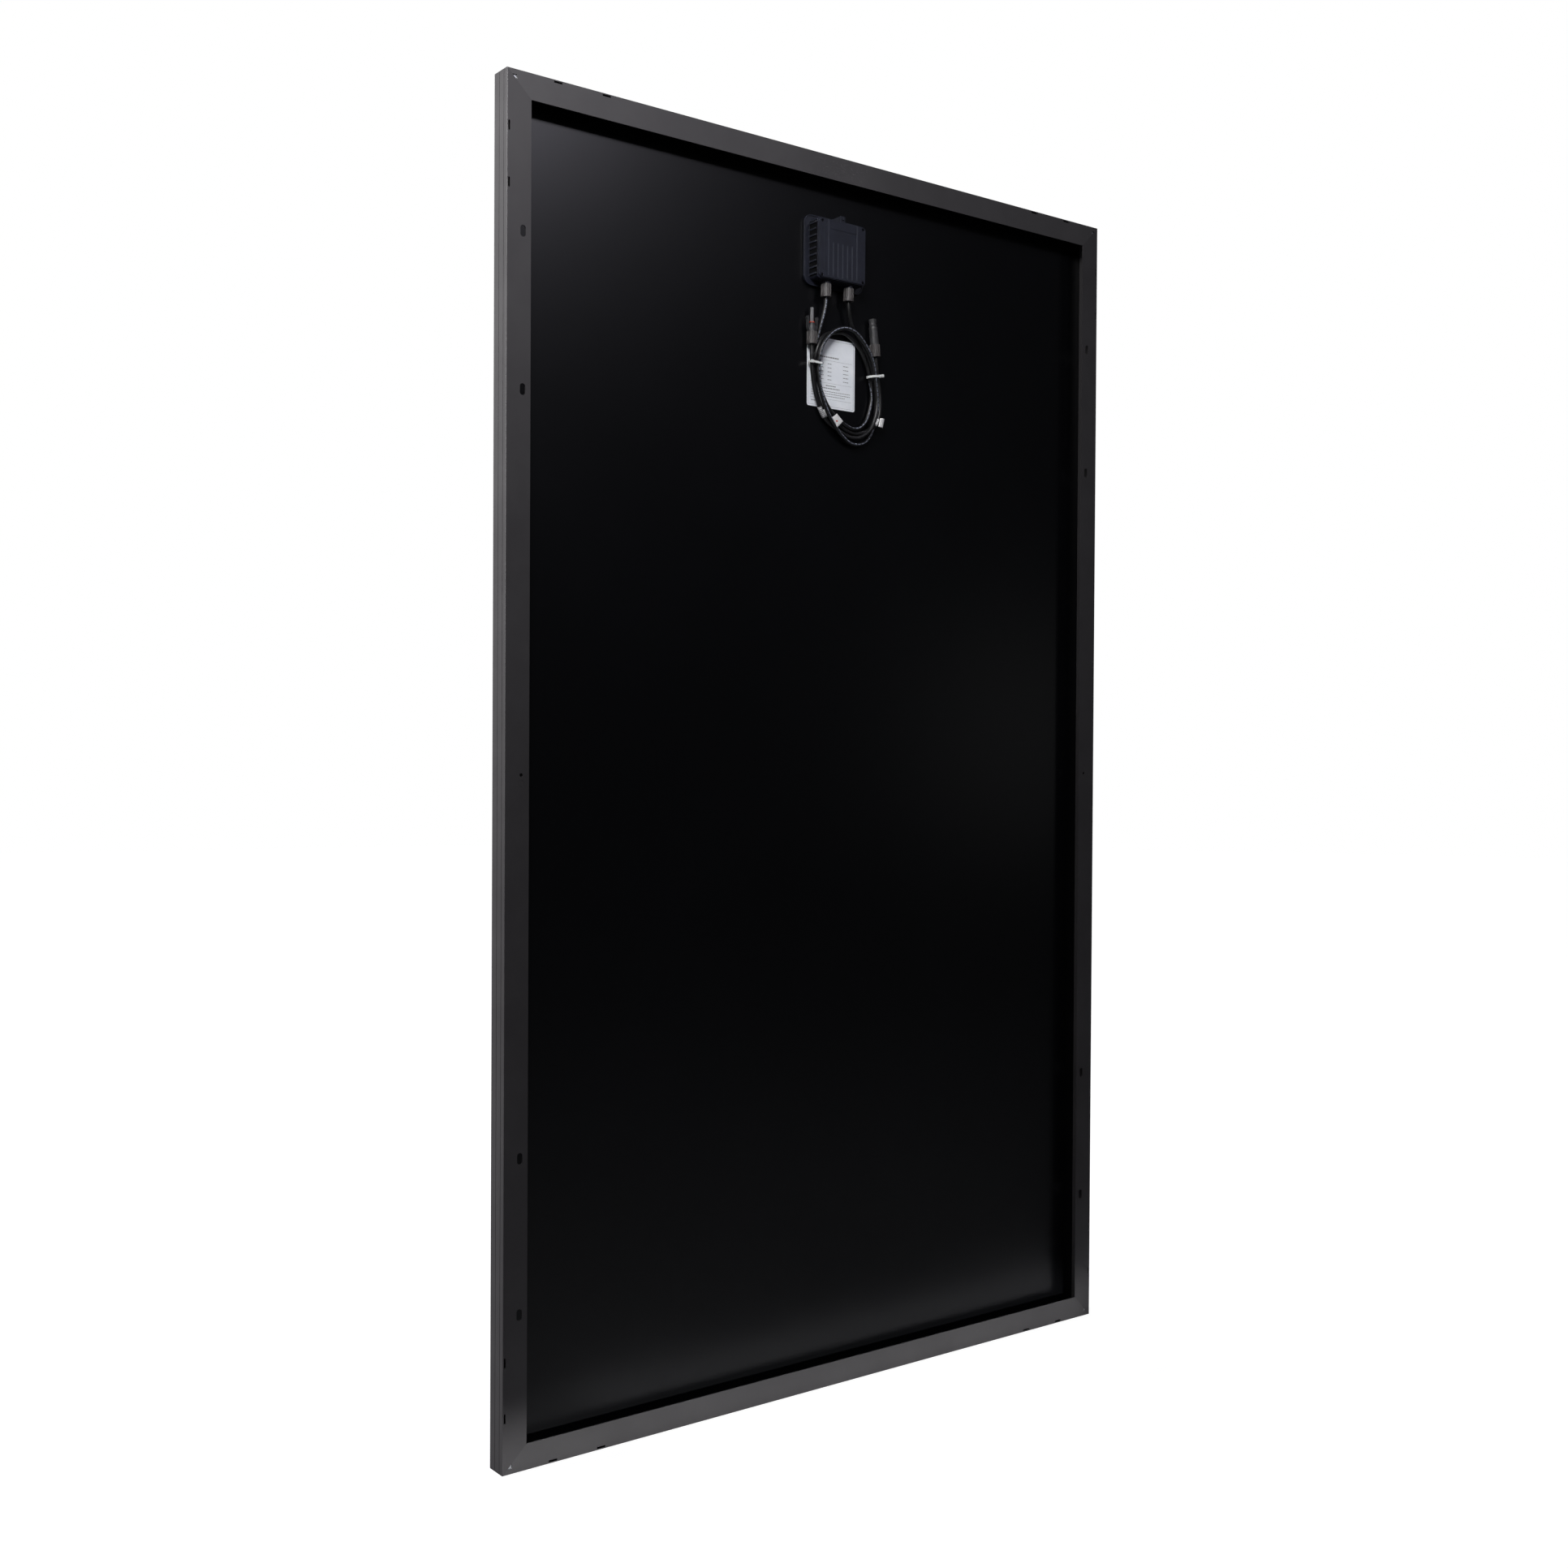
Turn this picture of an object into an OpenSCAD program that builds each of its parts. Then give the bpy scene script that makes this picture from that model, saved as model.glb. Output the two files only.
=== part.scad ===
// Framed solar panel, seen from its back: mitred frame, laminate, junction box,
// two wound leads with their connectors, labels and ties.
// X runs along the width, Y from the back of the frame to the glass, Z along the height.
// The origin is the middle of the bottom edge, halfway through the frame's thickness.

/* [Panel] */
// Height of the panel along its long rails
panel_h = 1675; // [1350:1:2050]
// Width of the panel along its short rails
panel_w = 1001; // [800:1:1250]
// Thickness of the frame from its back flange to its front lip
frame_t = 33; // [30:0.5:42]

/* [Frame section] */
// Wall of the frame extrusion
wall = 1.5; // [1.2:0.1:2]
// Reach of the back flange from the panel's edge
flange_w = 32; // [28:1:40]
// Width of the hollow chamber over its walls
chamber_w = 13; // [11:0.5:16]
// Reach of the front lip from the panel's edge
lip_w = 11; // [9:0.5:13]
// Radius of the frame's outer edges
edge_r = 1; // [0.5:0.1:1.5]
// Length of each corner key's legs
key_leg = 40; // [30:1:55]

/* [Frame holes] */
// Distance of the mounting slots from the panel's side edge
slot_inset = 21.5; // [20:0.5:24]
// Width of a mounting slot
slot_w = 7; // [6:0.5:9]
// Length of a mounting slot
slot_l = 14; // [10:0.5:18]
// Spacing of the outer mounting slots along a rail
slot_span_outer = 1296; // [1100:1:1310]
// Spacing of the inner mounting slots along a rail
slot_span_inner = 920; // [700:1:1050]
// Diameter of an earthing hole
earth_d = 4.2; // [3.5:0.1:5.5]
// Length of a drain slot
drain_l = 12; // [8:0.5:16]
// Width of a drain slot
drain_w = 2.4; // [1.8:0.1:3]
// Distance of the first drain slot from the frame's corner
drain_first = 68; // [60:1:90]
// Distance between two drain slots
drain_step = 67; // [40:1:90]
// Legs of the triangular drain notch at each mitre
notch_leg = 6; // [4:0.5:7]

/* [Laminate] */
// Thickness of the front glass
glass_t = 3.2; // [2.8:0.1:4]
// Side of a solar cell
cell = 158.75; // [125:0.25:200]
// Gap between two cells
cell_gap = 2; // [1.5:0.5:4]
// Conductor ribbons on each cell
ribbons = 3; // [2:1:5]

/* [Junction box] */
// Offset of the junction box from the centre line
box_x = 5.8; // [-20:0.1:20]
// Distance of the junction box's middle from the panel's top edge
box_drop = 125.5; // [100:0.5:200]
// Height of the junction box above the backsheet
box_h = 24.5; // [22:0.5:26]
// Width of the lid
lid_w = 80; // [76:0.5:96]
// Height of the lid
lid_h = 80; // [76:0.5:90]
// Distance between the two cable glands
gland_span = 39; // [34:0.5:46]

/* [Cables] */
// Diameter of the two leads
cable_d = 5.4; // [5:0.1:6.5]

/* [Hidden] */

// Overrun of every cut past the face that it opens
over = 1;
round_fn = 48;

// Depths counted from the back of the frame
back_y = -frame_t / 2;
seal_t = 0.5;
glass_front = frame_t - wall - seal_t;
glass_back = glass_front - glass_t;
film_t = 0.6;
cell_front = glass_back - film_t;
cell_t = 0.2;
cell_back = cell_front - cell_t;
ribbon_t = 0.2;
ribbon_w = 1.5;
rear_film_t = 0.8;
sheet_front = cell_front - rear_film_t;
sheet_t = 0.4;
sheet_v = sheet_front - sheet_t;
shelf_v = sheet_v - seal_t;
sheet_y = back_y + sheet_v;

// Laminate inside the frame
seal_edge = 1;
lam_inset = wall + seal_edge;
lam_w = panel_w - 2 * lam_inset;
lam_h = panel_h - 2 * lam_inset;
edge_min = 12;
bus_room = 17;
pitch = cell + cell_gap;
strings = 2 * floor((lam_w - 2 * edge_min + cell_gap) / pitch / 2);
rows = floor((lam_h - 2 * edge_min - 2 * bus_room + cell_gap) / pitch);
field_w = strings * pitch - cell_gap;
field_h = rows * pitch - cell_gap;
field_x = -field_w / 2;
field_z = (panel_h - field_h) / 2;
field_top = field_z + field_h;
pocket_play = 0.05;
bus_w = 5;
bus_step = 7;
bus_t = 0.5;
bus_end = 4;
bus_far_gap = 1;
bus_bridge = 5;
link_end = 6;
ribbon_end = 3;
cell_corner = 4;
seal_reach = 0.5;

// Corner notch of the frame
notch_near = 6.7;
rail_groove_w = 0.8;
rail_groove_deep = 0.4;
rail_groove_back = 8.3;
rail_groove_front = 19.8;
earth_mark_r = 4.2;
earth_mark_line = 0.5;
earth_mark_deep = 0.25;
earth_mark_away = 10;
drain_in = 2.8;
key_play = 0.2;

// Junction box
box_z = panel_h - box_drop;
adhesive_t = 1;
adhesive_in = 2.5;
rim_t = 2;
rim_w = lid_w + 21;
rim_h = lid_h + 15.5;
rim_r = 12;
rim_lip = 1.4;
rim_lip_t = 1;
body_w = lid_w + 2.6;
body_h = lid_h + 2;
body_r = 5;
body_wall = 4.2;
cavity_w = body_w - 2 * body_wall;
cavity_h = body_h - 2 * body_wall;
cavity_r = 2;
rim_top = adhesive_t + rim_t;
lid_t = 2.8;
gasket_t = 0.6;
lid_face_t = 0.6;
lid_back = box_h - lid_face_t - lid_t;
body_top = lid_back - gasket_t;
fins = 9;
fin_step = 8.6;
fin_t = 2.2;
fin_out = 1.2;
fin_low = 1.5;
fin_root = 1;
screw_x = lid_w / 2 - 5;
screw_z = lid_h / 2 - 3.6;
screw_r = 1.25;
screw_head_r = 1.9;
screw_head_t = 1.2;
screw_l = 11;
screw_hole_play = 0.1;
lid_hole_play = 0.3;
screw_head_play = 0.2;
screw_sunk = 1;
screw_cross_l = 2.2;
screw_cross_w = 0.5;
screw_cross_deep = 0.7;
screw_tip = 1;
gasket_out = 2.5;
gasket_in = 0.5;
post_r = 3.2;
lid_edge = 1;
lid_r = 6;
field_side = 7.7;
field_end = 3.6;
field_corner = 8.4;
field_sink = 0.35;
field_sink_top = 9;
rib_short_l = 44;
rib_side = 3;
rib_step = 8.2;
rib_w = 1.4;
rib_t = 0.5;
lug_w = 8;
lug_up = 8;
lug_t = 2.4;
lug_off = 0.5;
lug_root = 2;
lug_foot_h = 6;
lug_z = lid_h / 2 + lug_up / 2 + lug_off;
lug_hole_w = 4;
lug_hole_h = 4.6;
peg_play = 0.4;
peg_reach = 1.2;
lead_slot_h = 8;
lead_slot_up = 22;

// Box terminals
leads = strings / 2 + 1;
plate_pitch = cavity_w / leads;
plate_gap = 3;
plate_t = 0.8;
plate_l = 46;
plate_up = 1;
lead_w = 4;
lead_t = 0.2;
lead_play = 0.1;
lead_h0 = -sheet_t - lead_t - lead_play;
lead_tab_l = 12;
lead_slot_end = 2;
diode_w = 9;
diode_l = 14;
diode_t = 5;
diode_up = 6;
diode_leg_t = 0.6;
diode_leg_l = 2.5;
diode_leg_w = 3;
clip_w = 6;
clip_l = 7;
clip_t = 3;
clip_end = 1.5;
clamp_w = 9;
clamp_l = 9;
clamp_t = 11;

// Cable glands
gland_h = 12;
spout_r = 6;
spout_l = 17;
spout_bore_r = 4.8;
spout_end_t = 4;
cable_play = 0.1;
nut_r = 7.3;
nut_l = 17.5;
nut_down = 4;
nut_play = 0.25;
nut_end_t = 2.5;
nut_hole_play = 0.4;
flutes = 10;
flute_r = 1.1;
flute_out = 0.35;
flute_up = 3.5;
seal_l = 9;
seal_play = 0.05;
seal_in = 0.5;
body_low = box_z - body_h / 2;
spout_low = body_low - spout_l;
seal_low = spout_low + seal_in;
stub_up = 5;
core_r = 1.25;
core_l = 6;
gland_left_x = box_x - gland_span / 2;
gland_right_x = box_x + gland_span / 2;
cable_r = cable_d / 2;

// Connectors: each stands on the end of its tail, nut down
conn_h = 8;
plug_x = box_x - 40.3;
plug_z = box_z - 128.5;
socket_x = box_x + 71.2;
socket_z = box_z - 130;
socket_lean = -6.6;
conn_nut_l = 16.5;
conn_body_r = 5.2;
conn_body_low = 3;
conn_body_top = 28;
conn_shoulder = 17;
plug_collar_l = 7;
plug_collar_r = 6.4;
plug_neck_r = 4.4;
plug_tube_r = 2.5;
plug_tube_bore = 1.75;
plug_tube_top = 49;
plug_tube_low = 20;
plug_groove_r = 2.4;
plug_groove_top = 30.4;
ring_r = 0.8;
ring_up = 29.2;
arm_w = 5;
arm_t = 1.5;
arm_out = 7.4;
arm_low = 18;
arm_top = 37;
arm_barb = 1.6;
arm_root = 4.2;
arm_foot = 4;
barb_l = 5;
contact_r = 1.6;
conn_seal_top = 12;
conn_seal_low = 3.2;
conn_bore_r = 4.2;
socket_top = 51.5;
socket_r = 5.5;
socket_collar_r = 6;
socket_body_r = 6.2;
socket_mouth_r = 4.3;
socket_mouth_l = 8;
socket_bore_r = 2.7;
socket_bore_low = 24;
socket_pin_r = 0.9;
socket_pin_top = 42;
plug_contact_top = plug_tube_top - 2;
plug_contact_deep = 12;
plug_contact_bore = socket_pin_r + 0.1;
window_h = 3.6;
window_w = 7;
window_up = 40.4;
window_step = 2;
socket_collar_l = 5;
window_out = 1.2;
window_down = 8;
window_deep = 3;
window_l = window_h + 6;

// Wound coil of both cables
coil_h0 = 1.1;
coil_h1 = 13.1;
coil_steps = 48;
coil_x = box_x + 24;
coil_z = box_z - 178;
coil_a = 55.5;
coil_b = 80.5;
coil_skew = 9.5;
eye_x = box_x + 19.7;
eye_z = box_z - 171;
eye_a = 43.5;
eye_b = 59.5;

// Routes of the four free stretches: X from the box's middle, height above the backsheet,
// and Z from the box's middle
tube_sides = 10;
lead_left_route = [
    [-19.5, 12, seal_low - box_z], [-19.5, 12, -66], [-20, 11.8, -74], [-22, 11, -84], [-25, 9, -98],
    [-28, 6.5, -113], [-30, 4.5, -127], [-30, 4.3, -139], [-28.8, 4.2, -150], [-28, 4.2, -160]
];
lead_right_route = [
    [19.5, 12, seal_low - box_z], [19.5, 12, -66], [20.5, 11.8, -74], [22.5, 11, -83], [26, 9.8, -91],
    [31, 8, -98.5], [38, 7, -105], [45.5, 6.5, -112]
];
tail_left_route = [
    [-40.3, 8, -116.5], [-40.3, 8, -125], [-40.3, 8, -134], [-40.2, 8, -144],
    [-39.6, 7.8, -155], [-38.2, 7.4, -167], [-36.2, 7, -179], [-33.8, 7, -190]
];
tail_right_route = [
    [69.82, 8, -118.1], [70.9, 8, -127.4], [71.9, 8, -136], [73, 8, -145],
    [74.6, 7.8, -156], [77, 7.5, -167], [79, 7.4, -178], [80, 7.6, -188]
];

// Ties, labels
tie_w = 3.6;
tie_t = 0.6;
tie_play = 0.15;
tie_head_l = 5.5;
tie_head_t = 3.6;
tie_left_x0 = box_x - 43.4;
tie_left_x1 = box_x - 23.6;
tie_left_z = box_z - 153;
tie_left_lean = 3;
tie_right_x0 = box_x + 58.4;
tie_right_x1 = box_x + 82.4;
tie_right_z = box_z - 157.5;
tie_right_lean = 8;
label_t = 0.2;
label_w = 82.8;
label_h = 95.5;
label_r = 3;
label_x = box_x - 0.9;
label_z = box_z - 162.2;
flag_t = 0.3;
flag_play = 0.1;
flag_h0 = coil_h1 + flag_play;

frame_grey = [0.23, 0.23, 0.24];
box_black = [0.09, 0.095, 0.11];
cable_black = [0.05, 0.05, 0.055];
nut_grey = [0.18, 0.175, 0.17];

// ---------- helpers ----------

// Extrudes an outline drawn in X and Z between two depths from the back of the frame
module slab(v0, v1) {
    translate([0, back_y + v1, 0])
        rotate([90, 0, 0])
            linear_extrude(v1 - v0)
                children();
}

// Extrudes an outline drawn in X and Z between two heights above the backsheet
module raise(h0, h1) {
    translate([0, sheet_y - h0, 0])
        rotate([90, 0, 0])
            linear_extrude(h1 - h0)
                children();
}

// Rectangle with rounded corners, centred
module rounded(w, h, r) {
    square([w - 2 * r, h], center = true);
    square([w, h - 2 * r], center = true);
    for (x = [-1, 1], y = [-1, 1])
        translate([x * (w / 2 - r), y * (h / 2 - r)])
            circle(r, $fn = round_fn);
}

// Slot with round ends along Y of the outline
module slot(w, l) {
    square([w, l - w], center = true);
    for (y = [-1, 1])
        translate([0, y * (l - w) / 2])
            circle(w / 2, $fn = round_fn);
}

// Square piece of material outside a rounded edge
module edge_round(r) {
    difference() {
        translate([-over, -over])
            square(r + over);
        translate([r, r])
            circle(r, $fn = round_fn);
    }
}

// ---------- frame ----------

// Section of the extrusion: X in from the outer wall, Y forward from the back flange
module rail_section() {
    difference() {
        union() {
            square([wall, frame_t]);
            square([flange_w, wall]);
            square([chamber_w, shelf_v]);
            translate([0, frame_t - wall])
                square([lip_w, wall]);
        }
        translate([wall, wall])
            square([chamber_w - 2 * wall, shelf_v - 2 * wall]);
        for (v = [rail_groove_back, rail_groove_front])
            translate([-over, v - rail_groove_w / 2])
                square([over + rail_groove_deep, rail_groove_w]);
        edge_round(edge_r);
        translate([0, frame_t])
            mirror([0, 1])
                edge_round(edge_r);
    }
}

// Outline that cuts both ends of a rail of a given length at 45 degrees, outer edge on X
module mitre(l) {
    far = flange_w + over;
    polygon([[-l / 2, 0], [l / 2, 0], [l / 2 - far, far], [-l / 2 + far, far]]);
}

// A rail along Z with its outer wall on X = 0 and its middle at Z = 0
module rail(l) {
    intersection() {
        translate([0, back_y, -l / 2])
            linear_extrude(l)
                rail_section();
        slab(-over, frame_t + over)
            rotate(90)
                mirror([0, 1])
                    mitre(l);
    }
}

// Drain slots of a rail, in its flange against the outer wall
module drains(l) {
    for (end = [-1, 1], n = [0, 1])
        translate([drain_in, end * (l / 2 - drain_first - n * drain_step)])
            slot(drain_w, drain_l);
}

// Long rail on the left side, with mounting slots, earthing hole and earth mark
module side_rail(mark) {
    translate([-panel_w / 2, 0, panel_h / 2])
        difference() {
            rail(panel_h);
            slab(-over, wall + over / 2) {
                drains(panel_h);
                for (z = [slot_span_outer, slot_span_inner], end = [-1, 1])
                    translate([slot_inset, end * z / 2])
                        slot(slot_w, slot_l);
                translate([slot_inset, 0])
                    circle(earth_d / 2, $fn = round_fn);
            }
            slab(-over, earth_mark_deep)
                translate([slot_inset, mark * earth_mark_away])
                    difference() {
                        circle(earth_mark_r, $fn = round_fn);
                        circle(earth_mark_r - earth_mark_line, $fn = round_fn);
                    }
        }
}

// Short rail at the bottom, with drain slots and the two mitre notches
module end_rail() {
    difference() {
        rotate([0, -90, 0])
            rail(panel_w);
        slab(-over, wall + over / 2) {
            rotate(90)
                mirror([0, 1])
                    drains(panel_w);
            for (side = [-1, 1])
                scale([side, 1])
                    translate([-panel_w / 2 + notch_near, notch_near])
                        polygon([[0, 0], [notch_leg, 0], [notch_leg, notch_leg]]);
        }
    }
}

module rail_left() {
    color(frame_grey)
        side_rail(-1);
}

module rail_right() {
    color(frame_grey)
        mirror([1, 0, 0])
            side_rail(1);
}

module rail_bottom() {
    color(frame_grey)
        end_rail();
}

module rail_top() {
    color(frame_grey)
        translate([0, 0, panel_h])
            mirror([0, 0, 1])
                end_rail();
}

// Angle keys pressed into the chambers at the four mitres
module corner_keys() {
    near = wall + key_play;
    thick = chamber_w - 2 * wall - 2 * key_play;
    color("silver")
        for (x = [0, 1], z = [0, 1])
            translate([0, 0, z * panel_h])
                mirror([x, 0, 0])
                    mirror([0, 0, z])
                        slab(near, shelf_v - near)
                            translate([-panel_w / 2 + near, near])
                                difference() {
                                    square(key_leg);
                                    translate([thick, thick])
                                        square(key_leg);
                                }
}

// Silicone bead that fills the glass groove around the laminate's edge
module edge_seal() {
    color([0.12, 0.12, 0.13])
        difference() {
            slab(shelf_v, frame_t - wall)
                translate([0, panel_h / 2])
                    difference() {
                        square([panel_w - 2 * wall, panel_h - 2 * wall], center = true);
                        square([
                            panel_w - 2 * (lip_w - seal_reach),
                            panel_h - 2 * (lip_w - seal_reach)
                        ], center = true);
                    }
            slab(sheet_v, glass_front)
                laminate_outline();
        }
}

// ---------- laminate ----------

module laminate_outline() {
    translate([0, panel_h / 2])
        square([lam_w, lam_h], center = true);
}

// Outline of the space that holds cells, ribbons and buses
module field_outline() {
    translate([0, panel_h / 2])
        square([field_w + 2 * pocket_play, field_h + 2 * bus_room], center = true);
}

// Slot in the backsheet and the box's floor where the leads come through
module lead_slot() {
    translate([box_x, box_z + lead_slot_up])
        square([cavity_w - 2 * lead_slot_end, lead_slot_h], center = true);
}

module front_glass() {
    color([0.7, 0.8, 0.85, 0.4])
        slab(glass_back, glass_front)
            laminate_outline();
}

module front_encapsulant() {
    color([0.9, 0.9, 0.92, 0.5])
        difference() {
            slab(cell_front, glass_back)
                laminate_outline();
            slab(cell_front - over, cell_front + ribbon_t + pocket_play)
                field_outline();
        }
}

// Cells in strings, each with its corners cut as on a pseudo-square wafer
module solar_cells() {
    cut = cell_corner;
    half = cell / 2;
    color([0.05, 0.07, 0.16])
        slab(cell_back, cell_front)
            for (s = [0:strings - 1], r = [0:rows - 1])
                translate([field_x + half + s * pitch, field_z + half + r * pitch])
                    polygon([
                        [-half + cut, -half], [half - cut, -half], [half, -half + cut], [half, half - cut],
                        [half - cut, half], [-half + cut, half], [-half, half - cut], [-half, -half + cut]
                    ]);
}

// Place along X of one ribbon of a string
function ribbon_x(s, n) = field_x + s * pitch + cell * (n + 0.5) / ribbons;

// Ribbon from the front of one cell, down through the gap, to the back of the next
module link(z) {
    front = back_y + cell_front;
    back = back_y + cell_back;
    reach = cell - link_end;
    middle = ribbon_t / 2;
    points = [
        [front, z - reach], [front + ribbon_t, z - reach], [front + ribbon_t, z + middle],
        [back, z + middle], [back, z + reach], [back - ribbon_t, z + reach],
        [back - ribbon_t, z - middle], [front, z - middle]
    ];
    rotate([90, 0, 90])
        linear_extrude(ribbon_w, center = true)
            polygon(points);
}

// Ribbons of every string, with a short one at each end that reaches its bus
module cell_ribbons() {
    color("gainsboro")
        for (s = [0:strings - 1], n = [0:ribbons - 1])
            translate([ribbon_x(s, n), 0, 0]) {
                for (r = [0:rows - 2])
                    link(field_z + (r + 1) * pitch - cell_gap / 2);
                slab(cell_back - ribbon_t, cell_back)
                    translate([-ribbon_w / 2, field_z - bus_step + bus_w / 2])
                        square([ribbon_w, cell - ribbon_end + bus_step - bus_w / 2]);
                slab(cell_front, cell_front + ribbon_t)
                    translate([-ribbon_w / 2, field_top - cell + ribbon_end])
                        square([ribbon_w, cell - ribbon_end + bus_step + bus_w / 2]);
            }
}

// Bar of bus ribbon between two places along X
module bus(x0, x1, z) {
    slab(cell_front - bus_t, cell_front)
        translate([x0, z - bus_w / 2])
            square([x1 - x0, bus_w]);
}

// Place along X of one lead into the junction box
function lead_x(n) = box_x + (n - (leads - 1) / 2) * plate_pitch;

// Buses that join neighbouring strings at both ends
module bus_ribbons() {
    low = field_z - bus_step;
    high = field_top + bus_step;
    far = high + bus_w + bus_far_gap;
    color("gainsboro") {
        for (s = [0:2:strings - 2])
            bus(field_x + s * pitch + bus_end, field_x + (s + 2) * pitch - cell_gap - bus_end, low);
        for (s = [1:2:strings - 3])
            bus(field_x + s * pitch + bus_end, field_x + (s + 2) * pitch - cell_gap - bus_end, high);
        for (side = [0, 1]) {
            x0 = side == 0 ? field_x + bus_end : lead_x(leads - 1) - lead_w / 2;
            x1 = side == 0 ? lead_x(0) + lead_w / 2 : -field_x - bus_end;
            string_x0 = side == 0 ? field_x + bus_end : -field_x - cell + bus_end;
            union() {
                bus(x0, x1, far);
                bus(string_x0, string_x0 + cell - 2 * bus_end, high);
                bus(string_x0 + cell / 2, string_x0 + cell / 2 + bus_bridge, high + bus_w / 2);
            }
        }
    }
}

// Flat leads from the buses, behind the cells, through the slot and onto the terminals
module box_leads() {
    high = field_top + bus_step;
    slot_z = box_z + lead_slot_up;
    up = rim_top + plate_t;
    color("gainsboro")
        for (n = [0:leads - 1])
            translate([lead_x(n) - lead_w / 2, 0, 0]) {
                outer = n == 0 || n == leads - 1;
                top = outer ? high + bus_w + bus_far_gap + bus_w / 2 : high + bus_w / 2;
                raise(lead_h0, lead_h0 + lead_t)
                    translate([0, slot_z])
                        square([lead_w, top - slot_z]);
                raise(lead_h0, up + lead_t)
                    translate([0, slot_z - lead_t])
                        square([lead_w, lead_t]);
                raise(up, up + lead_t)
                    translate([0, slot_z - lead_t - lead_tab_l])
                        square([lead_w, lead_tab_l]);
            }
}

module rear_encapsulant() {
    color([0.1, 0.1, 0.11])
        difference() {
            slab(sheet_front, cell_front)
                laminate_outline();
            slab(sheet_front + pocket_play, cell_front + over)
                field_outline();
            slab(sheet_front - over, cell_front)
                lead_slot();
        }
}

module backsheet() {
    color([0.06, 0.06, 0.07])
        difference() {
            slab(sheet_v, sheet_front)
                laminate_outline();
            slab(sheet_v - over, sheet_front + over)
                lead_slot();
        }
}

module rating_label() {
    color("white")
        raise(0, label_t)
            translate([label_x, label_z])
                rounded(label_w, label_h, label_r);
}

// ---------- junction box ----------

module at_box() {
    translate([box_x, box_z])
        children();
}

module box_adhesive() {
    color([0.16, 0.16, 0.17])
        raise(0, adhesive_t)
            difference() {
                at_box()
                    rounded(rim_w - 2 * adhesive_in, rim_h - 2 * adhesive_in, rim_r - adhesive_in);
                lead_slot();
            }
}

// Spout that takes a cable, its seal and its nut
module spout(x) {
    translate([x, sheet_y - gland_h, spout_low])
        difference() {
            cylinder(h = spout_l + body_wall / 2, r = spout_r, $fn = round_fn);
            translate([0, 0, -over])
                cylinder(h = spout_l + over - spout_end_t, r = spout_bore_r, $fn = round_fn);
        }
}

// Bore of a cable through the box's wall
module cable_bore(x) {
    translate([x, sheet_y - gland_h, spout_low])
        cylinder(h = spout_l + body_wall + over, r = cable_r + cable_play, $fn = round_fn);
}

// Box tray: rim, walls with side fins, screw posts, spouts and the peg that the lid's lug slips over
module box_base() {
    color(box_black)
        difference() {
            union() {
                raise(adhesive_t, rim_top)
                    at_box()
                        rounded(rim_w, rim_h, rim_r);
                raise(rim_top, rim_top + rim_lip_t)
                    at_box()
                        difference() {
                            rounded(rim_w, rim_h, rim_r);
                            rounded(rim_w - 2 * rim_lip, rim_h - 2 * rim_lip, rim_r - rim_lip);
                        }
                raise(rim_top, body_top)
                    at_box()
                        difference() {
                            rounded(body_w, body_h, body_r);
                            rounded(cavity_w, cavity_h, cavity_r);
                        }
                raise(rim_top, body_top)
                    at_box()
                        for (x = [-1, 1], z = [-1, 1])
                            translate([x * screw_x, z * screw_z])
                                circle(post_r, $fn = round_fn);
                raise(rim_top, body_top - fin_low)
                    at_box()
                        for (n = [0:fins - 1])
                            translate([0, (n - (fins - 1) / 2) * fin_step])
                                difference() {
                                    square([body_w + 2 * fin_out, fin_t], center = true);
                                    square([body_w - 2 * fin_root, fin_t + over], center = true);
                                }
                raise(rim_top, lid_back - peg_play)
                    at_box()
                        translate([0, lug_z])
                            square([lug_w, lug_foot_h], center = true);
                raise(rim_top, lid_back + lug_t + peg_reach)
                    at_box()
                        translate([0, lug_z])
                            square([lug_hole_w - 2 * peg_play, lug_hole_h - 2 * peg_play], center = true);
                spout(gland_left_x);
                spout(gland_right_x);
            }
            raise(-over, rim_top + over / 2)
                lead_slot();
            raise(body_top - screw_l, body_top + over)
                at_box()
                    for (x = [-1, 1], z = [-1, 1])
                        translate([x * screw_x, z * screw_z])
                            circle(screw_r + screw_hole_play, $fn = round_fn);
            cable_bore(gland_left_x);
            cable_bore(gland_right_x);
        }
}

module terminal_plates() {
    color([0.75, 0.45, 0.25])
        raise(rim_top, rim_top + plate_t)
            for (n = [0:leads - 1])
                translate([lead_x(n), box_z - plate_l / 2 + lead_slot_up - lead_slot_h / 2 - plate_up])
                    square([plate_pitch - plate_gap, plate_l], center = true);
}

// Diodes that bridge neighbouring terminal plates
module bypass_diodes() {
    up = rim_top + plate_t;
    color([0.15, 0.15, 0.15])
        for (n = [0:leads - 2])
            translate([(lead_x(n) + lead_x(n + 1)) / 2, 0, 0]) {
                raise(up, up + diode_t)
                    translate([0, box_z - diode_up])
                        square([diode_w, diode_l], center = true);
                raise(up, up + diode_leg_t)
                    translate([0, box_z - diode_up])
                        square([diode_w + 2 * diode_leg_l, diode_leg_w], center = true);
            }
}

// Spring clips that hold the flat leads on the plates
module ribbon_clips() {
    up = rim_top + plate_t + lead_t;
    z = box_z + lead_slot_up - lead_t - lead_tab_l + clip_l / 2 + clip_end;
    color("lightsteelblue")
        for (n = [0:leads - 1])
            raise(up, up + clip_t)
                translate([lead_x(n), z])
                    square([clip_w, clip_l], center = true);
}

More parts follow.
